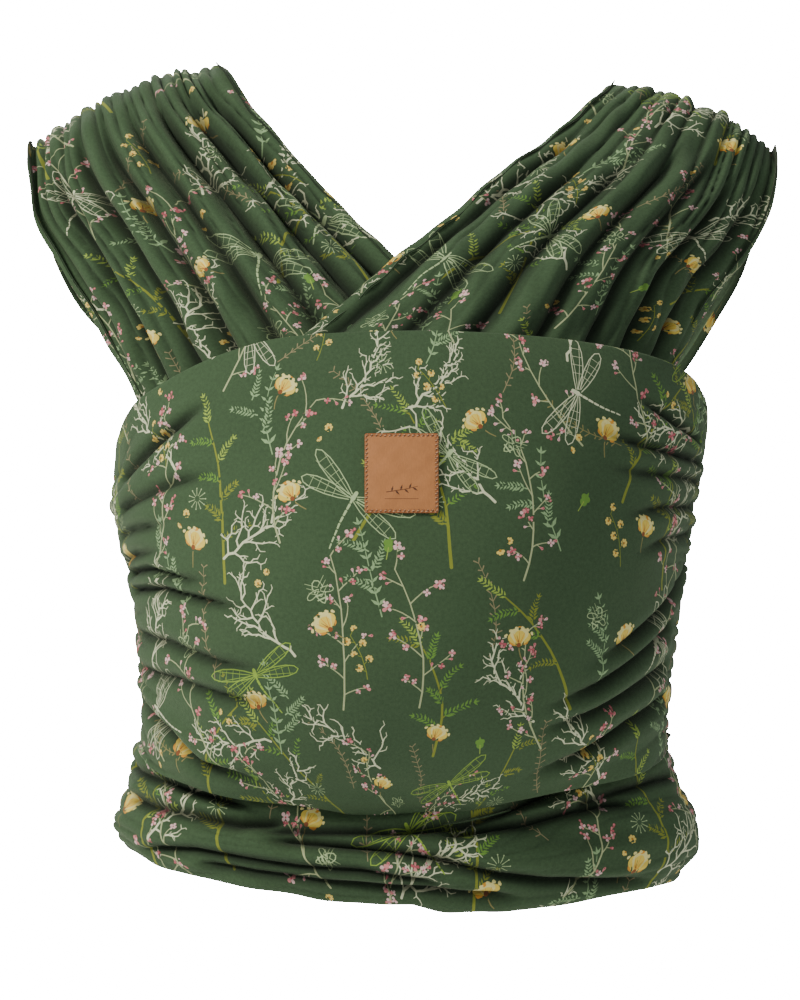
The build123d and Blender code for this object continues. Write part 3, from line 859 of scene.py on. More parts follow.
STROKE_GROUP = stroke_group()


def new_material(name):
    material = bpy.data.materials.new(name)
    material.use_nodes = True
    tree = material.node_tree
    return material, Nodes(tree), tree.nodes["Principled BSDF"]


WALE = 0.95                 # spacing of the knit's upright ribs
COURSE = 0.7                # and of its rows
GREEN = (63, 85, 57)
REVERSE_GREEN = (84, 104, 78)
FOLD_SHADOW = 0.86          # how much the jersey's colour is darkened deep in a fold: painted shade, on top of the shade that the shallower modelled folds get from the lamps


def jersey_material(name, printed, colour=GREEN):
    material, n, shader = new_material(name)
    place = n.attribute("cloth_place")
    flat = n.vector("MULTIPLY", place, FLAT)
    cloudy = n.noise(flat, 0.012, 3.0, 0.6)
    speckle = n.sum(n.noise(flat, 1.1, 2.0, 0.6), 0.5, n.noise(flat, 0.42, 1.0, 0.5), 0.5)
    ground = n.shaded(linear(colour), n.sum(cloudy, 0.34, speckle, 1.1, 0.30))
    if printed:
        ground = n.mix(n.maths("MULTIPLY", speckle, 0.3), n.printed(place, ground), linear(colour))
    # painted shade: the colour is darkened by the fold shade amount that each place carries
    depth = n.vector("DOT_PRODUCT", place, DOWN_IN)
    shadow = n.maths("SUBTRACT", 1.0, n.maths("MULTIPLY", depth, FOLD_SHADOW))
    n.feed(shader, {
        "Base Color": n.shaded(ground, shadow), "Roughness": 0.86, "Sheen Weight": 0.22,
        "Sheen Roughness": 0.45, "Sheen Tint": linear((190, 205, 170)), "Specular IOR Level": 0.25,
    })
    wales = n.maths("SINE", n.vector("DOT_PRODUCT", flat, (2 * math.pi / WALE, 0.0, 0.0)))
    courses = n.maths("SINE", n.vector("DOT_PRODUCT", flat, (math.pi / WALE, 2 * math.pi / COURSE, 0.0)))
    knit = n.maths("MULTIPLY", wales, courses)
    n.relief(shader, n.sum(knit, 0.5, n.noise(flat, 1.6, 4.0, 0.7), 1.4), 0.5, 0.0002)
    return material


PRINTED = jersey_material("printed_jersey", True)
REVERSE = jersey_material("jersey_reverse", False, REVERSE_GREEN)
CLOTH = (PRINTED, REVERSE)


# ----------------------------------------------------------------------------------------------
# The straps: key rows across the strip, from behind the panel over the shoulder to the ribs
# ----------------------------------------------------------------------------------------------
# (edge at the neck, edge at the arm, how far the middle stands proud of the line between, which way)
LEFT_ROWS = [
    ((-106, -175, 287), (143, -142, 246), 66, (0, -1, 0.05)),
    ((-84, -179, 308), (161, -112, 272), 66, (0, -1, 0.10)),
    ((-60, -177, 328), (174, -88, 297), 58, (0, -1, 0.20)),
    ((-1, -151, 377), (200, -76, 342), 40, (0, -0.85, 0.5)),
    ((56, -106, 426), (226, -62, 376), 30, (0, -0.7, 0.7)),
    ((100, -60, 462), (243, -44, 408), 22, (0, -0.5, 0.87)),
    ((124, -32, 485), (248, -24, 435), 16, (0.1, -0.2, 0.97)),
    ((132, 0, 493), (249, 0, 446), 13, (0.15, 0, 0.98)),
    ((124, 33, 484), (248, 26, 433), 16, (0.1, 0.2, 0.97)),
    ((100, 62, 460), (243, 46, 404), 22, (0, 0.5, 0.87)),
    ((64, 97, 426), (226, 66, 358), 24, (0, 0.8, 0.6)),
    ((18, 119, 388), (184, 74, 292), 22, (0, 0.95, 0.3)),
    ((-38, 122, 345), (110, 92, 208), 19, (0, 1, 0.05)),
]
RIGHT_ROWS = [
    ((100, -168, 284), (-136, -128, 220), 56, (0, -1, 0.05)),
    ((76, -171, 308), (-152, -104, 243), 58, (0, -1, 0.10)),
    ((52, -166, 330), (-163, -88, 266), 52, (0, -1, 0.20)),
    ((-3, -138, 376), (-189, -76, 315), 38, (0, -0.85, 0.5)),
    ((-45, -104, 418), (-215, -62, 358), 30, (0, -0.7, 0.7)),
    ((-92, -58, 475), (-240, -44, 403), 22, (0, -0.5, 0.87)),
    ((-108, -30, 497), (-245, -24, 434), 17, (-0.1, -0.2, 0.97)),
    ((-113, 0, 506), (-247, 0, 447), 13, (-0.15, 0, 0.98)),
    ((-108, 31, 496), (-245, 26, 432), 17, (-0.1, 0.2, 0.97)),
    ((-92, 60, 471), (-240, 44, 399), 22, (0, 0.5, 0.87)),
    ((-60, 88, 428), (-224, 58, 356), 24, (0, 0.8, 0.6)),
    ((-16, 104, 386), (-174, 40, 302), 24, (0, 0.95, 0.3)),
    ((38, 106, 341), (-104, 76, 218), 19, (0, 1, 0.05)),
]
# Below those, rows that lie on the body: angle and height of the arm's edge, then of the neck's.
# In front the angle is counted from the front, and behind from the back, towards the far hip.
FRONT_BODY_ROWS = [(76, 62, 76, 128), (42, 58, 64, 176), (6, 84, 52, 222), (-26, 146, 44, 258)]
BACK_BODY_ROWS = [
    (-13, 160, 21, 314), (3, 130, 31, 288), (22, 102, 42, 268), (42, 77, 51, 260), (56, 64, 56, 258),
]
STRAP_COLUMNS = 132
STRAP_STEP = 4.4


def strap_key_rows(side, rows, front_lift, back_lifts):
    """Points across the strip at each key row. side is 1 for the wearer's left shoulder."""
    share = np.linspace(0.018, 0.985, STRAP_COLUMNS)[:, None]     # the rolled edges take up the rest

    def body_row(row, lift, turn, start=0.0):
        arm_angle, arm_z, neck_angle, neck_z = row
        angle = start + turn * (arm_angle + (neck_angle - arm_angle) * share[:, 0])
        return on_body(angle, arm_z + (neck_z - arm_z) * share[:, 0], lift)

    keys = [body_row(row, front_lift, -side) for row in FRONT_BODY_ROWS]
    for neck, arm, crown, way in rows:
        neck, arm, way = np.array(neck, float), np.array(arm, float), np.array(way, float)
        chord = neck - arm
        way -= chord * (way @ chord) / (chord @ chord)
        way /= np.linalg.norm(way)
        keys.append(arm + chord * share + way * crown * 4 * share * (1 - share))
    keys += [body_row(row, lift, side, 180) for row, lift in zip(BACK_BODY_ROWS, back_lifts)]
    return np.array(keys)


def through_rows(keys, step):
    """A smooth surface through key rows, with rows at even steps along its middle."""
    places = lengths_along(keys[:, keys.shape[1] // 2])
    slopes = np.gradient(keys, places, axis=0)
    along = np.linspace(0, places[-1], int(places[-1] / step) + 1)
    i = np.clip(np.searchsorted(places, along, side="right") - 1, 0, len(places) - 2)
    run = (places[i + 1] - places[i])[:, None, None]
    share = (along - places[i])[:, None, None] / run
    return between(keys[i], keys[i + 1], slopes[i], slopes[i + 1], run, share), along, places


SIDE_PLEAT_HEIGHT = 4.0
EDGE_ROLL = 1.7
EDGE_FLAP = 9.0
FOLD_SCALE = 130                # width that the straps' folds are laid out on
STRAP_PRINT_SPREAD = 1.12       # gathering draws the print together across the strap


def finish_cloth(name, surface, field, place, outward=1, roll=EDGE_ROLL, flap=EDGE_FLAP):
    """Raises the folds from a smooth surface, turns the edges in and makes the piece."""
    points = surface + grid_normals(surface, outward) * field[..., None]
    points, place = turn_in(points, outward, np.stack(place, axis=-1), roll, flap)
    return shell(name, points, place, outward, CLOTH)


def strap(name, side, rows, front_lift, back_lifts, pleats, heights, folds, soft_seed):
    """One strap's cloth. side is 1 for the wearer's left shoulder. heights is the pleat height by key row."""
    surface, along, places = through_rows(strap_key_rows(side, rows, front_lift, back_lifts), STRAP_STEP)
    across = np.linspace(0, 1, STRAP_COLUMNS)[None, :]
    width = lengths_along(surface.transpose(1, 0, 2)).T
    end = along[-1]
    cloth_u = -side * (width - width[:, -1:] / 2) * STRAP_PRINT_SPREAD + 60 * side
    cloth_v = along[:, None] + 0 * across
    lift = follow(list(zip(places, heights)), along)[:, None]
    loose = 1 - smooth(end - 120, end - 10, along)[:, None]
    wander = loose * 0.016 * ripple(along[:, None], across * 60, soft_seed, 170, 60)
    wander *= smooth(0, 0.1, across) * smooth(0, 0.1, 1 - across)
    height = lift * pleats.rise(across, wander)
    # painted shade in the valleys between the pleats, stronger where the pleats stand high
    fold_shade = 0.85 * smooth(0.6, 4.5, lift) * pleats.fold_shade(across, wander)
    height += loose * 0.8 * ripple(along[:, None], across * width[:, -1:], soft_seed + 1, 70, 26)
    fold_u, fold_v = cloth_v, across * FOLD_SCALE + 0 * cloth_v
    for start, stop, depth, breadth in folds:
        # a slightly bowed fold from one (key row, share of the width) to another
        middle = ((start[0] + stop[0]) / 2, (start[1] + stop[1]) / 2 + 0.015)
        row_numbers = range(len(places))
        line = [
            (np.interp(row, row_numbers, places), share * FOLD_SCALE) for row, share in (start, middle, stop)
        ]
        crease(height, fold_shade, fold_u, fold_v, line, depth, breadth, start_fade=0.3, end_fade=0.2)
    return finish_cloth(name, surface, height, (cloth_u, cloth_v, fold_shade), side)


# The left strap lies outside the right one where they cross, in front and behind. Pleat heights
# are given row by row: four rows behind the pocket, thirteen over the shoulder, five on the back.
LEFT_PLEATS = Pleats(5, 15, broad_from=0.5)
RIGHT_PLEATS = Pleats(9, 20)
LEFT_HEIGHTS = [
    1, 1, 1, 1,
    1.0, 1.4, 1.8, 2.8, 4.0, 5.0, 5.2, 5.2, 5.0, 4.4, 3.6, 2.6, 2.0,
    1.6, 1.6, 2.2, 3.0, SIDE_PLEAT_HEIGHT,
]
RIGHT_HEIGHTS = [
    1, 1, 1, 1,
    1.2, 1.8, 2.4, 3.6, 4.8, 5.6, 5.6, 5.4, 5.0, 4.4, 3.4, 2.4, 1.6,
    1.4, 1.4, 2.2, 3.0, SIDE_PLEAT_HEIGHT,
]
LEFT_FOLDS = [
    ((4.3, 0.95), (9.4, 0.88), 4, 2.8), ((4.0, 0.80), (8.6, 0.74), 4, 3.4),
    ((4.2, 0.64), (8.8, 0.60), 4, 3.2), ((4.1, 0.46), (9.2, 0.47), 5, 2.6),
    ((4.4, 0.31), (9.6, 0.34), 5, 2.4), ((4.2, 0.19), (9.2, 0.22), 5, 2.4),
    ((4.1, 0.08), (9.4, 0.10), 5, 2.4),
]
RIGHT_FOLDS = [
    ((4.8, 0.92), (10.2, 0.86), 7, 2.8), ((4.5, 0.80), (10.2, 0.77), 8, 3.2),
    ((4.3, 0.66), (10.2, 0.65), 8, 3.2), ((4.1, 0.52), (10.2, 0.53), 7, 2.8),
    ((4.0, 0.38), (10.2, 0.40), 8, 3.0), ((4.0, 0.25), (10.2, 0.28), 7, 2.6),
    ((4.0, 0.12), (10.2, 0.15), 7, 2.6),
]
left_strap = strap(
    "left_strap_cloth", 1, LEFT_ROWS, -10, (9, 9, 9, 5, 0),
    LEFT_PLEATS, LEFT_HEIGHTS, LEFT_FOLDS, 21,
)
right_strap = strap(
    "right_strap_cloth", -1, RIGHT_ROWS, -20, (-4, -4, -4, -2, 0),
    RIGHT_PLEATS, RIGHT_HEIGHTS, RIGHT_FOLDS, 33,
)


# ----------------------------------------------------------------------------------------------
# The pocket: front panel and side wraps, one cloth
# ----------------------------------------------------------------------------------------------
POCKET_ROWS = 140
PANEL_FACE = 1.2            # the outer face of the panel stands this far outside its middle
PRINT_HEIGHT = 160.0        # where the print lies true on the pocket; it is drawn in above and below
POCKET_ANGLES = np.linspace(-SEAM_ANGLE, SEAM_ANGLE, 301)


def arc_from_front(angles, height, front=FRONT_RADIUS):
    """Length round the body at a height, counted from the front, at angles spaced evenly about it."""
    arc = lengths_along(on_body(angles, np.full(angles.shape, height), 0.0, front))
    return arc - arc[len(arc) // 2]


def angle_of(x, height, front=FRONT_RADIUS):
    """The angle at which the body is x to the side, in front."""
    low, high = 0.0, 89.0
    for _ in range(30):
        middle = (low + high) / 2
        here = on_body(math.copysign(middle, x), np.array(float(height)), 0.0, front)
        if abs(float(here[0])) < abs(x):
            low = middle
        else:
            high = middle
    return math.copysign(low, x)


def band(angles, columns, bottom, top):
    """Heights over a band round the body between two edges, and the share of the way up."""
    share = np.linspace(0, 1, columns)[None, :]
    low, high = follow(bottom, angles[:, None]), follow(top, angles[:, None])
    return low + (high - low) * share, share


def lay_folds(folds, field, fold_shade, angles, arc, heights, front=FRONT_RADIUS, end_fade=0.35):
    """Presses folds, given as front-view lines, into a band round the body."""
    for points, depth, width in folds:
        line = [(float(np.interp(angle_of(x, z, front), angles, arc)), z) for x, z in points]
        crease(field, fold_shade, arc[:, None] + 0 * heights, heights, line, depth, width, end_fade=end_fade)


def pocket():
    heights, share = band(POCKET_ANGLES, POCKET_ROWS, POCKET_BOTTOM, POCKET_TOP)
    angles = POCKET_ANGLES[:, None]
    surface = on_body(angles + 0 * heights, heights, PANEL_FACE)
    arc_line = arc_from_front(POCKET_ANGLES, PRINT_HEIGHT)
    arc = arc_line[:, None] + 0 * heights
    rise = lengths_along(surface.transpose(1, 0, 2)).T
    middle_rise = np.array([np.interp(PRINT_HEIGHT, h, r) for h, r in zip(heights, rise)])[:, None]
    side_amount = smooth(50, 86, np.abs(angles)) * (0.85 + 0.15 * smooth(88, 124, np.abs(angles)))
    wander = 0.02 * (1 - smooth(100, 122, np.abs(angles))) * ripple(arc, heights, 3, 150, 90)
    left = angles > 0
    gathers = np.where(left, RIGHT_PLEATS.rise(share, wander), LEFT_PLEATS.rise(share, wander))
    # painted shade in the valleys of the side gathers
    valley_shade = np.where(left, RIGHT_PLEATS.fold_shade(share, wander), LEFT_PLEATS.fold_shade(share, wander))
    field = SIDE_PLEAT_HEIGHT * side_amount * gathers
    fold_shade = 0.8 * side_amount * valley_shade
    field += 0.6 * ripple(arc, heights, 4, 160, 120) * (1 - smooth(0.85, 1, share) * 0.6)
    lay_folds(POCKET_FOLDS, field, fold_shade, POCKET_ANGLES, arc_line, heights)
    return finish_cloth("pocket_cloth", surface, field, (arc, rise - middle_rise, fold_shade))


# Folds that the weight of the baby pulls into the panel, as front-view (x, z) lines from which the
# angle round the body is worked out; then depth and width. The swelling is on a line's left.
POCKET_FOLDS = [
    (((-164, 98), (-145, 72), (-124, 53), (-70, 40)), 6.0, 4.0),
    (((-178, 179), (-166, 186), (-146, 190)), 3.4, 2.8),
    (((-174, 172), (-158, 177), (-134, 171), (-112, 170)), 5.0, 2.6),
    (((-170, 163), (-150, 165), (-126, 159), (-84, 152)), 5.0, 2.8),
    (((-166, 137), (-145, 131), (-112, 120), (-70, 114)), 3.6, 3.6),
    (((-164, 114), (-140, 108), (-97, 96), (-60, 92)), 3.4, 3.8),
    (((-178, 232), (-160, 250), (-138, 268), (-112, 286)), 4.2, 3.2),
    (((-180, 212), (-160, 224), (-140, 232), (-108, 238)), 3.4, 3.2),
    (((-180, 196), (-164, 203), (-140, 206)), 3.0, 3.0),
    (((188, 257), (174, 268), (161, 277), (140, 288)), 4.2, 2.8),
    (((190, 243), (170, 250), (149, 256), (112, 266)), 4.0, 3.0),
    (((190, 231), (170, 236), (148, 238), (120, 244)), 3.6, 2.8),
    (((188, 216), (165, 216), (132, 211)), 3.6, 2.8),
    (((186, 200), (166, 196), (140, 186)), 3.2, 2.8),
    (((184, 190), (177, 170), (163, 150), (140, 132), (108, 116)), 6.0, 3.4),
    (((172, 146), (150, 124), (120, 104), (80, 90)), 5.4, 3.4),
    (((168, 118), (146, 102), (114, 86), (76, 76)), 4.8, 3.4),
    (((166, 98), (140, 78), (112, 60), (70, 46)), 6.0, 3.6),
    # the faint line where the cloth was folded in its pack
    (((33, 318), (33, 220), (34, 130), (34, 40)), -0.25, 0.8),
]
pocket_cloth = pocket()

# ----------------------------------------------------------------------------------------------
# The waist wrap
# ----------------------------------------------------------------------------------------------
WAIST_TOP = [(-179, 38), (-165, 46), (-125, 58), (-90, 66), (-70, 56), (-45, 35), (-20, 25), (0, 22),
             (25, 27), (50, 42), (70, 58), (90, 64), (125, 60), (165, 46), (179, 38)]
WAIST_BOTTOM = [(-179, 14), (-165, 6), (-125, -4), (-90, -3), (-60, -18), (-30, -30), (0, -33), (20, -38),
                (45, -37), (60, -33), (90, -20), (125, -10), (165, 6), (179, 14)]
WAIST_FOLDS = [
    (((-92, 13), (-32, 12), (-2, 12), (38, 17), (61, 23), (89, 35), (112, 47)), 5.0, 3.2),
    (((20, 10), (74, 17), (104, 24), (126, 28), (150, 28)), 5.0, 3.0),
    (((104, 27), (134, 36), (156, 41), (171, 43)), 4.0, 3.0),
    (((-90, 8), (-60, 6), (-9, 1), (20, -5), (59, -16), (89, -20), (134, -22), (163, -21)), 5.5, 3.4),
    (((-165, -3), (-127, -1), (-100, -5), (-61, -10), (-24, -12), (13, -18), (35, -25)), 5.0, 3.2),
    (((-132, -8), (-91, -14), (-46, -19), (-9, -23), (38, -27), (80, -30)), 4.5, 3.0),
    (((-171, 31), (-151, 25), (-129, 21), (-99, 16), (-60, 18)), 5.0, 3.4),
    (((-172, 50), (-150, 42), (-120, 34), (-90, 26)), 4.0, 3.2),
    (((-150, 64), (-128, 44), (-100, 34)), 3.5, 3.2),
]
WAIST_COLUMNS = 64
WAIST_ROLL = 3.2
WAIST_FLAP = 7.0


def waist():
    angle_steps = np.linspace(-178, 178, 361)
    heights, share = band(angle_steps, WAIST_COLUMNS, WAIST_BOTTOM, WAIST_TOP)
    angles = angle_steps[:, None]
    full = 1.5 + 3.5 * (1 - np.abs(2 * share - 1) ** 2.5)
    surface = on_body(angles + 0 * heights, heights, full, WAIST_FRONT_RADIUS)
    arc_line = arc_from_front(angle_steps, 5.0, WAIST_FRONT_RADIUS)
    arc = arc_line[:, None] + 0 * heights
    behind = smooth(70, 105, np.abs(angles))
    wander = 0.05 * ripple(arc, heights, 8, 190, 60)
    field = 4.2 * (0.25 + 0.75 * behind) * WAIST_PLEATS.rise(share, wander)
    # painted shade in the valleys of the waist's pleats, stronger behind
    fold_shade = (0.2 + 0.7 * behind) * WAIST_PLEATS.fold_shade(share, wander)
    field += 0.7 * ripple(arc, heights, 6, 60, 22)
    lay_folds(WAIST_FOLDS, field, fold_shade, angle_steps, arc_line, heights, WAIST_FRONT_RADIUS, end_fade=0.15)
    rise = lengths_along(surface.transpose(1, 0, 2)).T
    place = (arc + 40, rise - 190, fold_shade)
    return finish_cloth("waist_cloth", surface, field, place, roll=WAIST_ROLL, flap=WAIST_FLAP)


WAIST_PLEATS = Pleats(14, 8)
waist_cloth = waist()


# ----------------------------------------------------------------------------------------------
# The knot at the back, its tails and the care label
# ----------------------------------------------------------------------------------------------
KNOT_CENTRE = np.array([0.0, 135.0, 27.0])
KNOT_HALF = np.array([37.0, 17.0, 22.0])
TAIL_HINGE = (24.0, 137.0, 0.0)
TAIL_LENGTH = 48.0
# share of the tail's length below the hinge, half its width, how far it leans out, its thickness
TAIL_SECTIONS = [
    (-0.2, 9, 0, 8), (0.06, 10, 0, 8), (0.25, 13, 2, 8), (0.5, 18, 5, 7), (0.8, 24, 9, 6), (1.0, 27, 12, 5),
]
KNOT_PLEATS = Pleats(17, 11)
LOOP_PLEATS = Pleats(26, 5)
TAIL_PLEATS = Pleats(31, 6)


def flat_place(points, u0, v0):
    """Where each point of a grid lies on the flat cloth, from the lengths along it."""
    along = lengths_along(points)
    across = lengths_along(points.transpose(1, 0, 2)).T
    return np.stack([across + u0, along + v0, np.zeros(points.shape[:2])], axis=-1)


def knot():
    """The bundle that runs across: cloth gathered round the bundle's own length."""
    reach = np.radians(np.linspace(-89.5, 89.5, 76))[:, None]
    turn = np.linspace(0, 2 * math.pi, 181)[None, :]
    share = (turn / (2 * math.pi) + 0.05 * np.sin(reach)) % 1.0
    girth = np.cos(reach) ** 0.8
    rise = 2.0 * girth * (KNOT_PLEATS.rise(share) - 0.35)
    points = np.stack(np.broadcast_arrays(
        KNOT_CENTRE[0] + KNOT_HALF[0] * np.sin(reach) + 0 * turn,
        KNOT_CENTRE[1] - (KNOT_HALF[1] * girth + rise) * np.cos(turn),
        KNOT_CENTRE[2] + (KNOT_HALF[2] * girth + rise) * np.sin(turn),
    ), axis=-1)
    place = flat_place(points, 200, 30)
    # painted shade in the valleys of the knot's gathers
    place[..., 2] = 0.7 * girth * KNOT_PLEATS.fold_shade(share)
    return shell("knot_cloth", points, place, 1, CLOTH)


def knot_turn():
    """The turn of cloth over the bundle's middle."""
    reach = np.radians(np.linspace(-86, 86, 80))[:, None]
    share = np.linspace(0, 1, 60)[None, :]
    across = 2 * share - 1
    swell = (5.6 - 2.2 * across**2) * smooth(86, 60, np.abs(np.degrees(reach)))
    swell = swell + 1.8 * LOOP_PLEATS.rise(share) - 0.8
    points = np.stack(np.broadcast_arrays(
        KNOT_CENTRE[0] + (14 + 1.5 * np.abs(np.sin(reach))) * across + 1.2 * np.sin(2.2 * reach),
        KNOT_CENTRE[1] + (KNOT_HALF[1] + swell) * np.cos(reach) - 1.0,
        KNOT_CENTRE[2] + (KNOT_HALF[2] + swell) * np.sin(reach),
    ), axis=-1)
    place = flat_place(points, 90, 150)
    # painted shade in the valleys of the loop's gathers
    place[..., 2] = 0.8 * LOOP_PLEATS.fold_shade(share)
    points, place = turn_in(points, -1, place, 1.4, 1.5)
    return shell("knot_loop_cloth", points, place, -1, CLOTH)


def tail(name, side, seed):
    share = np.linspace(0, 1, 90)[None, :]
    drop = np.linspace(TAIL_SECTIONS[0][0], 1, 60)[:, None]
    half, lean, thick = (follow([(row[0], row[i]) for row in TAIL_SECTIONS], drop) for i in (1, 2, 3))
    across = 2 * share - 1
    wander = 0.03 * np.sin(drop * 5 + seed)
    fold = TAIL_PLEATS.rise(share, wander) * smooth(1.3, -0.2, drop)
    face = TAIL_HINGE[1] + 3 * across**2 + thick / 2 * (1.5 * fold - 0.6)
    points = np.stack(np.broadcast_arrays(
        side * (TAIL_HINGE[0] + lean) + half * across,
        face + 1.2 * np.sin(across * 5 + seed) * drop,
        TAIL_HINGE[2] - TAIL_LENGTH * drop + 1.5 * np.sin(across * 3.0 + seed) * smooth(0.4, 1, drop),
    ), axis=-1)
    place = flat_place(points, 40 + 130 * seed, 260)
    # painted shade in the valleys of the tail's pleats, fading towards its end
    place[..., 2] = 0.7 * TAIL_PLEATS.fold_shade(share, wander) * smooth(1.2, 0, drop)
    points, place = turn_in(points, -1, place, 0.9, 1.5)
    return shell(name, points, place, -1, CLOTH)


knot_cloth = knot()
knot_loop_cloth = knot_turn()
left_tail = tail("left_tail_cloth", 1, 1)
right_tail = tail("right_tail_cloth", -1, 2)


def satin_material():
    material, n, shader = new_material("label_satin")
    place = n.attribute("cloth_place")
    shade = n.maths("ADD", n.maths("MULTIPLY", n.noise(place, 0.5, 3.0), 0.14), 0.86)
    colour = n.shaded(linear((236, 234, 226)), shade)
    n.feed(shader, {"Base Color": colour, "Roughness": 0.42, "Sheen Weight": 0.15})
    weft = n.maths("SINE", n.vector("DOT_PRODUCT", place, (2 * math.pi / 0.5, 2 * math.pi / 0.28, 0.0)))
    n.relief(shader, weft, 0.35, 0.00006)
    return material


LABEL_TOP = -13.0
LABEL_BOTTOM = -34.6
LABEL_FRONT = 144.1
LABEL_GAP = 0.65            # how far the outer face of its back layer is behind that of its front
LABEL_LEFT = 43.0
LABEL_WIDTH = 16.0


def care_label():
    """A blank satin strip, folded at its lower end."""
    radius = LABEL_GAP / 2
    down = [(LABEL_FRONT, z) for z in np.linspace(LABEL_TOP, LABEL_BOTTOM, 14)]
    bend = [
        (LABEL_FRONT + radius - radius * math.cos(a), LABEL_BOTTOM - radius * math.sin(a))
        for a in np.linspace(0, math.pi, 9)[1:-1]
    ]
    back = [(LABEL_FRONT + LABEL_GAP, z) for _, z in down[::-1]]
    profile = np.array(down + bend + back)
    across = np.linspace(0, LABEL_WIDTH, 24)[None, :]
    bow = 0.5 * np.sin(across / LABEL_WIDTH * math.pi)
    points = np.broadcast_arrays(LABEL_LEFT + across, profile[:, :1] + bow, profile[:, 1:])
    points = np.stack(points, axis=-1)
    satin = satin_material()
    place = flat_place(points, 0, 0)
    return shell("care_label_satin", points, place, 1, (satin, satin), printed=False, thickness=0.2)


label = care_label()

# ----------------------------------------------------------------------------------------------
# The leather patch and its stitches
# ----------------------------------------------------------------------------------------------
PATCH_WIDTH = 44.6
PATCH_HEIGHT = 48.8
PATCH_MIDDLE = 237.4        # its height above the waist wrap's middle
PATCH_THICKNESS = 2.0
PATCH_GAP = 0.1             # between the leather and the cloth's outer face
PATCH_CORNER = 1.3
PATCH_EDGE = 0.35           # height at which the leather's edge starts to round over
PATCH_EDGE_TURN = 0.6       # and how far in from the edge it has done so
STITCH_INSET = 1.4
STITCH_PITCH = 2.7
STITCH_LENGTH = 2.5
PLY_RADIUS = 0.25           # of each of the thread's two plies
TWIST_RADIUS = 0.2          # and how far each is from the thread's middle


def on_panel(across, up, lift):
    """Points over the panel's outer face, measured from the middle of the patch."""
    height = PATCH_MIDDLE + up
    angle = np.degrees(np.arcsin(across / body_radius(np.zeros_like(height), height)))
    return on_body(angle, height, PANEL_FACE + lift)


def sprig():
    """The plain mark pressed into the leather: one leafy twig over a short line."""
    mark = Print(12)
    mark.line([(-9, -11.5), (-3, -10.6), (3, -9.6), (9.5, -8)], 0.26, 0.14, "burnt")
    for x, y, turn in (
        (-6, -11, 1.3), (-3.6, -10.7, -0.8), (-0.6, -10.2, 1.25), (1.8, -9.8, -0.75), (4.6, -9.3, 1.2),
        (6.8, -8.8, -0.6),
    ):
        mark.leaf(x, y, turn, 3.2, 1.1, "burnt")
    mark.line([(-10, -15.6), (10, -15.6)], 0.14, 0.14, "burnt")
    return np.array(mark.strokes, float)


def leather_material():
    material, n, shader = new_material("patch_leather")
    place = n.attribute("cloth_place")
    flat = n.vector("MULTIPLY", place, FLAT)
    edge = n.vector("DOT_PRODUCT", place, DOWN_IN)
    streaks = n.noise(n.vector("MULTIPLY", place, (1.0, 0.22, 0.0)), 1.3, 4.0, 0.7)
    shade = n.sum(streaks, 0.42, n.noise(flat, 0.09, 3.0, 0.6), 0.36, 0.62)
    ground = n.shaded(linear((178, 118, 70)), shade)
    ground = n.mix(n.maths("MULTIPLY", edge, 0.8), ground, linear((138, 66, 34)))
    colour = n.printed(place, ground)
    n.feed(shader, {"Base Color": colour, "Roughness": 0.62, "Specular IOR Level": 0.35})
    grain = n.add("ShaderNodeTexVoronoi", feature="DISTANCE_TO_EDGE")
    n.feed(grain, {"Vector": flat, "Scale": 1.6})
    n.relief(shader, n.sum(grain.outputs["Distance"], 1.2, streaks, 0.8), 0.45, 0.00022)
    return material


def leather_patch():
    s = np.linspace(-1, 1, 171)[:, None]
    t = np.linspace(-1, 1, 185)[None, :]
    s, t = s + 0 * t, t + 0 * s
    x, y = s * PATCH_WIDTH / 2, t * PATCH_HEIGHT / 2
    core_x, core_y = PATCH_WIDTH / 2 - PATCH_CORNER, PATCH_HEIGHT / 2 - PATCH_CORNER
    over_x, over_y = np.maximum(np.abs(x) - core_x, 0), np.maximum(np.abs(y) - core_y, 0)
    gap = np.hypot(over_x, over_y)
    shrink = np.where(gap > PATCH_CORNER, PATCH_CORNER / np.maximum(gap, 1e-9), 1.0)
    x = np.sign(x) * (np.minimum(np.abs(x), core_x) + over_x * shrink)
    y = np.sign(y) * (np.minimum(np.abs(y), core_y) + over_y * shrink)
    over_x, over_y = np.maximum(np.abs(x) - core_x, 0), np.maximum(np.abs(y) - core_y, 0)
    inset = np.minimum(PATCH_WIDTH / 2 - np.abs(x), PATCH_HEIGHT / 2 - np.abs(y))
    corner = (over_x > 0) & (over_y > 0)
    inset = np.where(corner, np.minimum(inset, PATCH_CORNER - np.hypot(over_x, over_y)), inset)
    inset = np.maximum(inset, 0)
    short_of_flat = 1 - np.minimum(inset / PATCH_EDGE_TURN, 1)
    lift = PATCH_EDGE + (PATCH_THICKNESS - PATCH_EDGE) * np.sqrt(1 - short_of_flat**2)
    groove = np.exp(-(((inset - STITCH_INSET) / 0.65) ** 2))
    run = np.where(PATCH_WIDTH / 2 - np.abs(x) < PATCH_HEIGHT / 2 - np.abs(y), y, x)
    lift -= groove * (0.28 + 0.12 * np.cos(2 * math.pi * run / STITCH_PITCH))
    lift += 0.25 * smooth(1.5, 9, inset) + 0.06 * ripple(x, y, 51, 14, 11)
    outer = on_panel(x, y, PATCH_GAP + lift)
    inner = on_panel(x, y, PATCH_GAP + 0 * lift)
    place = np.stack([x, y, 0.9 * smooth(0.9, 0.1, inset) + 0.25 * groove], axis=-1)
    leather = leather_material()
    return shell("leather_patch_detail", outer, place, -1, (leather, leather), sprig(), inner=inner)


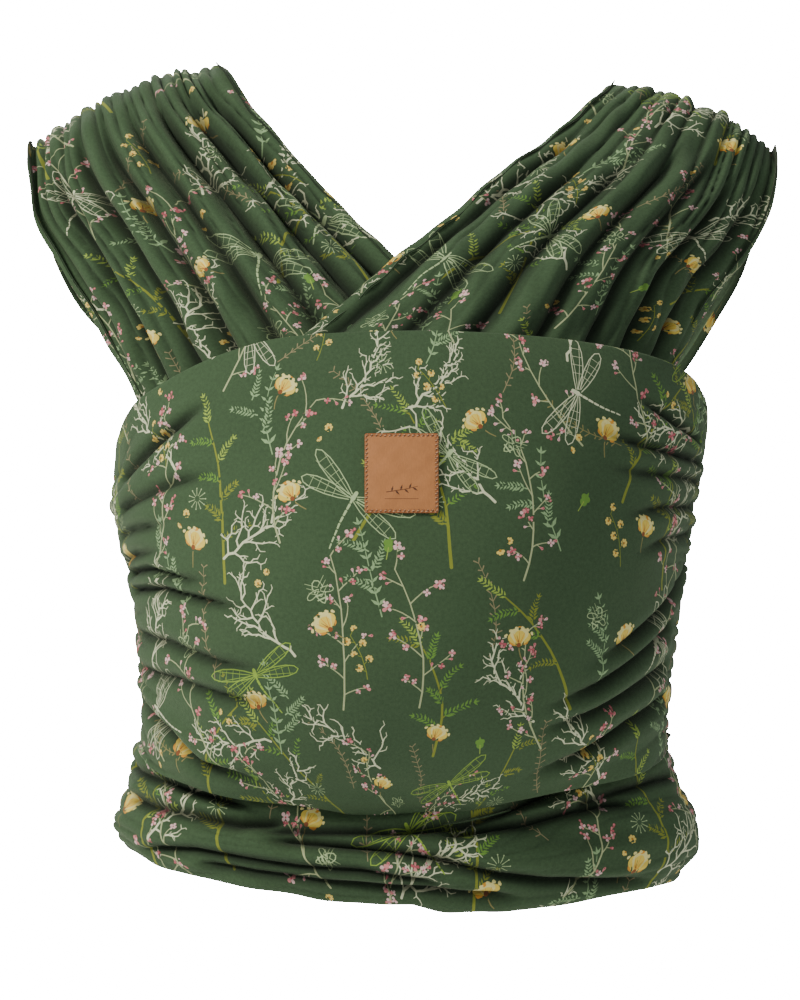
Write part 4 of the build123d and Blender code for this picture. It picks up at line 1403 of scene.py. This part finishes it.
def thread_material():
    material, n, shader = new_material("patch_thread")
    place = n.add("ShaderNodeTexCoord").outputs["Object"]
    # the second ply's light tan is a painted highlight, standing in for the glints along the thread; the first
    # ply's dark brown is the thread's own colour
    ground = n.mix(n.attribute("ply", "Fac"), linear((92, 56, 36)), linear((206, 162, 122)))
    hairs = n.noise(place, 5000.0, 3.0, 0.7)
    colour = n.shaded(ground, n.maths("ADD", n.maths("MULTIPLY", hairs, 0.5), 0.72))
    n.feed(shader, {"Base Color": colour, "Roughness": 0.6, "Sheen Weight": 0.2})
    n.relief(shader, hairs, 0.4, 0.00005)
    return material


def stitches():
    """Two-ply thread, one slanting stitch after another round the patch's edge."""
    half_width = PATCH_WIDTH / 2 - STITCH_INSET
    half_height = PATCH_HEIGHT / 2 - STITCH_INSET
    spots = []
    for side in (-1, 1):
        for up in np.linspace(-half_height, half_height, round(2 * half_height / STITCH_PITCH) + 1):
            spots.append((side * half_width, up))
        for across in np.linspace(-half_width, half_width, round(2 * half_width / STITCH_PITCH) + 1)[1:-1]:
            spots.append((across, side * half_height))
    rings, sides = 13, 8
    vertices, faces, plies = [], [], []
    slant = STITCH_LENGTH / 2 / math.sqrt(2)
    for number, (across, up) in enumerate(spots):
        share = np.linspace(-1, 1, rings)
        arch = 1.35 + 0.75 * (1 - share**4)
        line = on_panel(across + slant * share, up + slant * share, PATCH_GAP + arch)
        way = np.array([1.0, 0.0, 1.0]) / math.sqrt(2)
        out = np.array([0.0, -1.0, 0.0])
        beside = np.cross(way, out)
        for ply in (0, 1):
            spin = math.pi * ply + 4.2 * share + number
            middle = line + TWIST_RADIUS * (np.cos(spin)[:, None] * out + np.sin(spin)[:, None] * beside)
            start = len(vertices)
            for i in range(rings):
                thin = PLY_RADIUS * (0.75 + 0.25 * (1 - share[i] ** 4))
                for k in range(sides):
                    a = 2 * math.pi * k / sides
                    vertices.append((middle[i] + thin * (math.cos(a) * out + math.sin(a) * beside)) * MM)
            for i in range(rings - 1):
                for k in range(sides):
                    a, b = start + i * sides + k, start + i * sides + (k + 1) % sides
                    faces.append((a, b, b + sides, a + sides))
                    plies.append(float(ply))
            faces.append(tuple(range(start + sides - 1, start - 1, -1)))
            faces.append(tuple(range(start + (rings - 1) * sides, start + rings * sides)))
            plies += [float(ply)] * 2
    mesh = bpy.data.meshes.new("patch_thread")
    mesh.from_pydata([tuple(v) for v in vertices], [], faces)
    mesh.polygons.foreach_set("use_smooth", np.ones(len(faces), bool))
    mesh.attributes.new("ply", "FLOAT", "FACE").data.foreach_set("value", plies)
    mesh.materials.append(thread_material())
    return new_object("patch_thread", mesh)


patch = leather_patch()
thread = stitches()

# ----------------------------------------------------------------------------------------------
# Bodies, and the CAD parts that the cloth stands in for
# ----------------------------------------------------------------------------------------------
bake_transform(left_strap)
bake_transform(right_strap)
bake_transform(pocket_cloth)
for piece in (waist_cloth, knot_cloth, knot_loop_cloth):
    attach(piece, "wrap")
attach(left_tail, "left_tail")
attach(right_tail, "right_tail")
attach(label, "left_tail")
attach(patch, "pocket")
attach(thread, "pocket")
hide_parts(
    "left_chest_strap", "left_shoulder_cap", "left_back_strap", "left_back_cross", "left_front_cross",
)
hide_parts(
    "right_chest_strap", "right_shoulder_cap", "right_back_strap", "right_back_cross",
    "right_front_cross",
)
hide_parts("front_panel", "left_side_wrap", "right_side_wrap")
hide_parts("waist_front", "left_hip_wrap", "right_hip_wrap")
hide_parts("knot_core")
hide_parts("knot_loop")
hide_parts("left_tail")
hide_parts("right_tail")
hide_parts("care_label")
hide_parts("leather_patch")
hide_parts("patch_stitches")

# ----------------------------------------------------------------------------------------------
# Stage
# ----------------------------------------------------------------------------------------------
VIEW_HEIGHT = 0.65          # metres seen from top to bottom, in the plane of the wearer's sides
DISTANCE = 3.0
SENSOR = 36.0
LOOK_AT = Vector((-0.001, AXIS_Y * MM, 0.221))
FLOOR_RADIUS = 1.7
FLOOR_HEIGHT = -0.36
LAMPS = [                   # name, place, width, power, colour
    ("key", (-2.4, -1.75, 2.2), 0.9, 126, (1.0, 0.97, 0.90)),
    ("fill", (2.0, -1.6, 2.0), 1.6, 9, (0.95, 0.98, 1.0)),
    ("back", (-0.6, 2.2, 1.5), 1.6, 34, (1.0, 1.0, 1.0)),
]
SKY_LIGHT = 0.36            # strength of the even light from all round
BACKDROP = 40.0             # and of what the camera sees behind, which is plain white


def stage():
    camera_data = bpy.data.cameras.new("camera")
    camera_data.sensor_width = SENSOR
    camera_data.lens = SENSOR * DISTANCE / VIEW_HEIGHT
    camera_data.clip_end = 30
    camera = new_object("camera", camera_data)
    camera.location = LOOK_AT + Vector((0, -DISTANCE, 0))
    camera.rotation_euler = (math.radians(90), 0, 0)
    bpy.context.scene.camera = camera

    mesh = bpy.data.meshes.new("floor")
    turns = np.linspace(0, 2 * math.pi, 97)[:-1]
    ring = [(FLOOR_RADIUS * math.cos(a), FLOOR_RADIUS * math.sin(a), FLOOR_HEIGHT) for a in turns]
    mesh.from_pydata(ring, [], [list(range(len(ring)))])
    material, n, shader = new_material("floor")
    n.feed(shader, {"Base Color": (0.95, 0.95, 0.94, 1), "Roughness": 0.8})
    mesh.materials.append(material)
    floor = new_object("floor", mesh)
    floor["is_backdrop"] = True

    for name, place, size, energy, colour in LAMPS:
        light = bpy.data.lights.new(name, "AREA")
        light.size = size
        light.energy = energy
        light.color = colour
        lamp = new_object(name, light)
        lamp.location = place
        lamp.rotation_euler = (LOOK_AT - Vector(place)).to_track_quat("-Z", "Y").to_euler()

    world = bpy.data.worlds.new("studio")
    world.use_nodes = True
    n = Nodes(world.node_tree)
    seen = n.feed(world.node_tree.nodes["Background"], {0: (1, 1, 1, 1), 1: BACKDROP})
    lighting = n.feed(n.add("ShaderNodeBackground"), {0: (0.95, 0.97, 1.0, 1), 1: SKY_LIGHT})
    by_camera = n.add("ShaderNodeLightPath").outputs["Is Camera Ray"]
    mix = n.feed(n.add("ShaderNodeMixShader"), {0: by_camera, 1: lighting.outputs[0], 2: seen.outputs[0]})
    n.give(world.node_tree.nodes["World Output"].inputs[0], mix.outputs[0])
    bpy.context.scene.world = world


stage()

boxes = {"cad": CAD_BOX, "visual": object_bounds()}
{name: [list(corner) for corner in box] for name, box in boxes.items()}
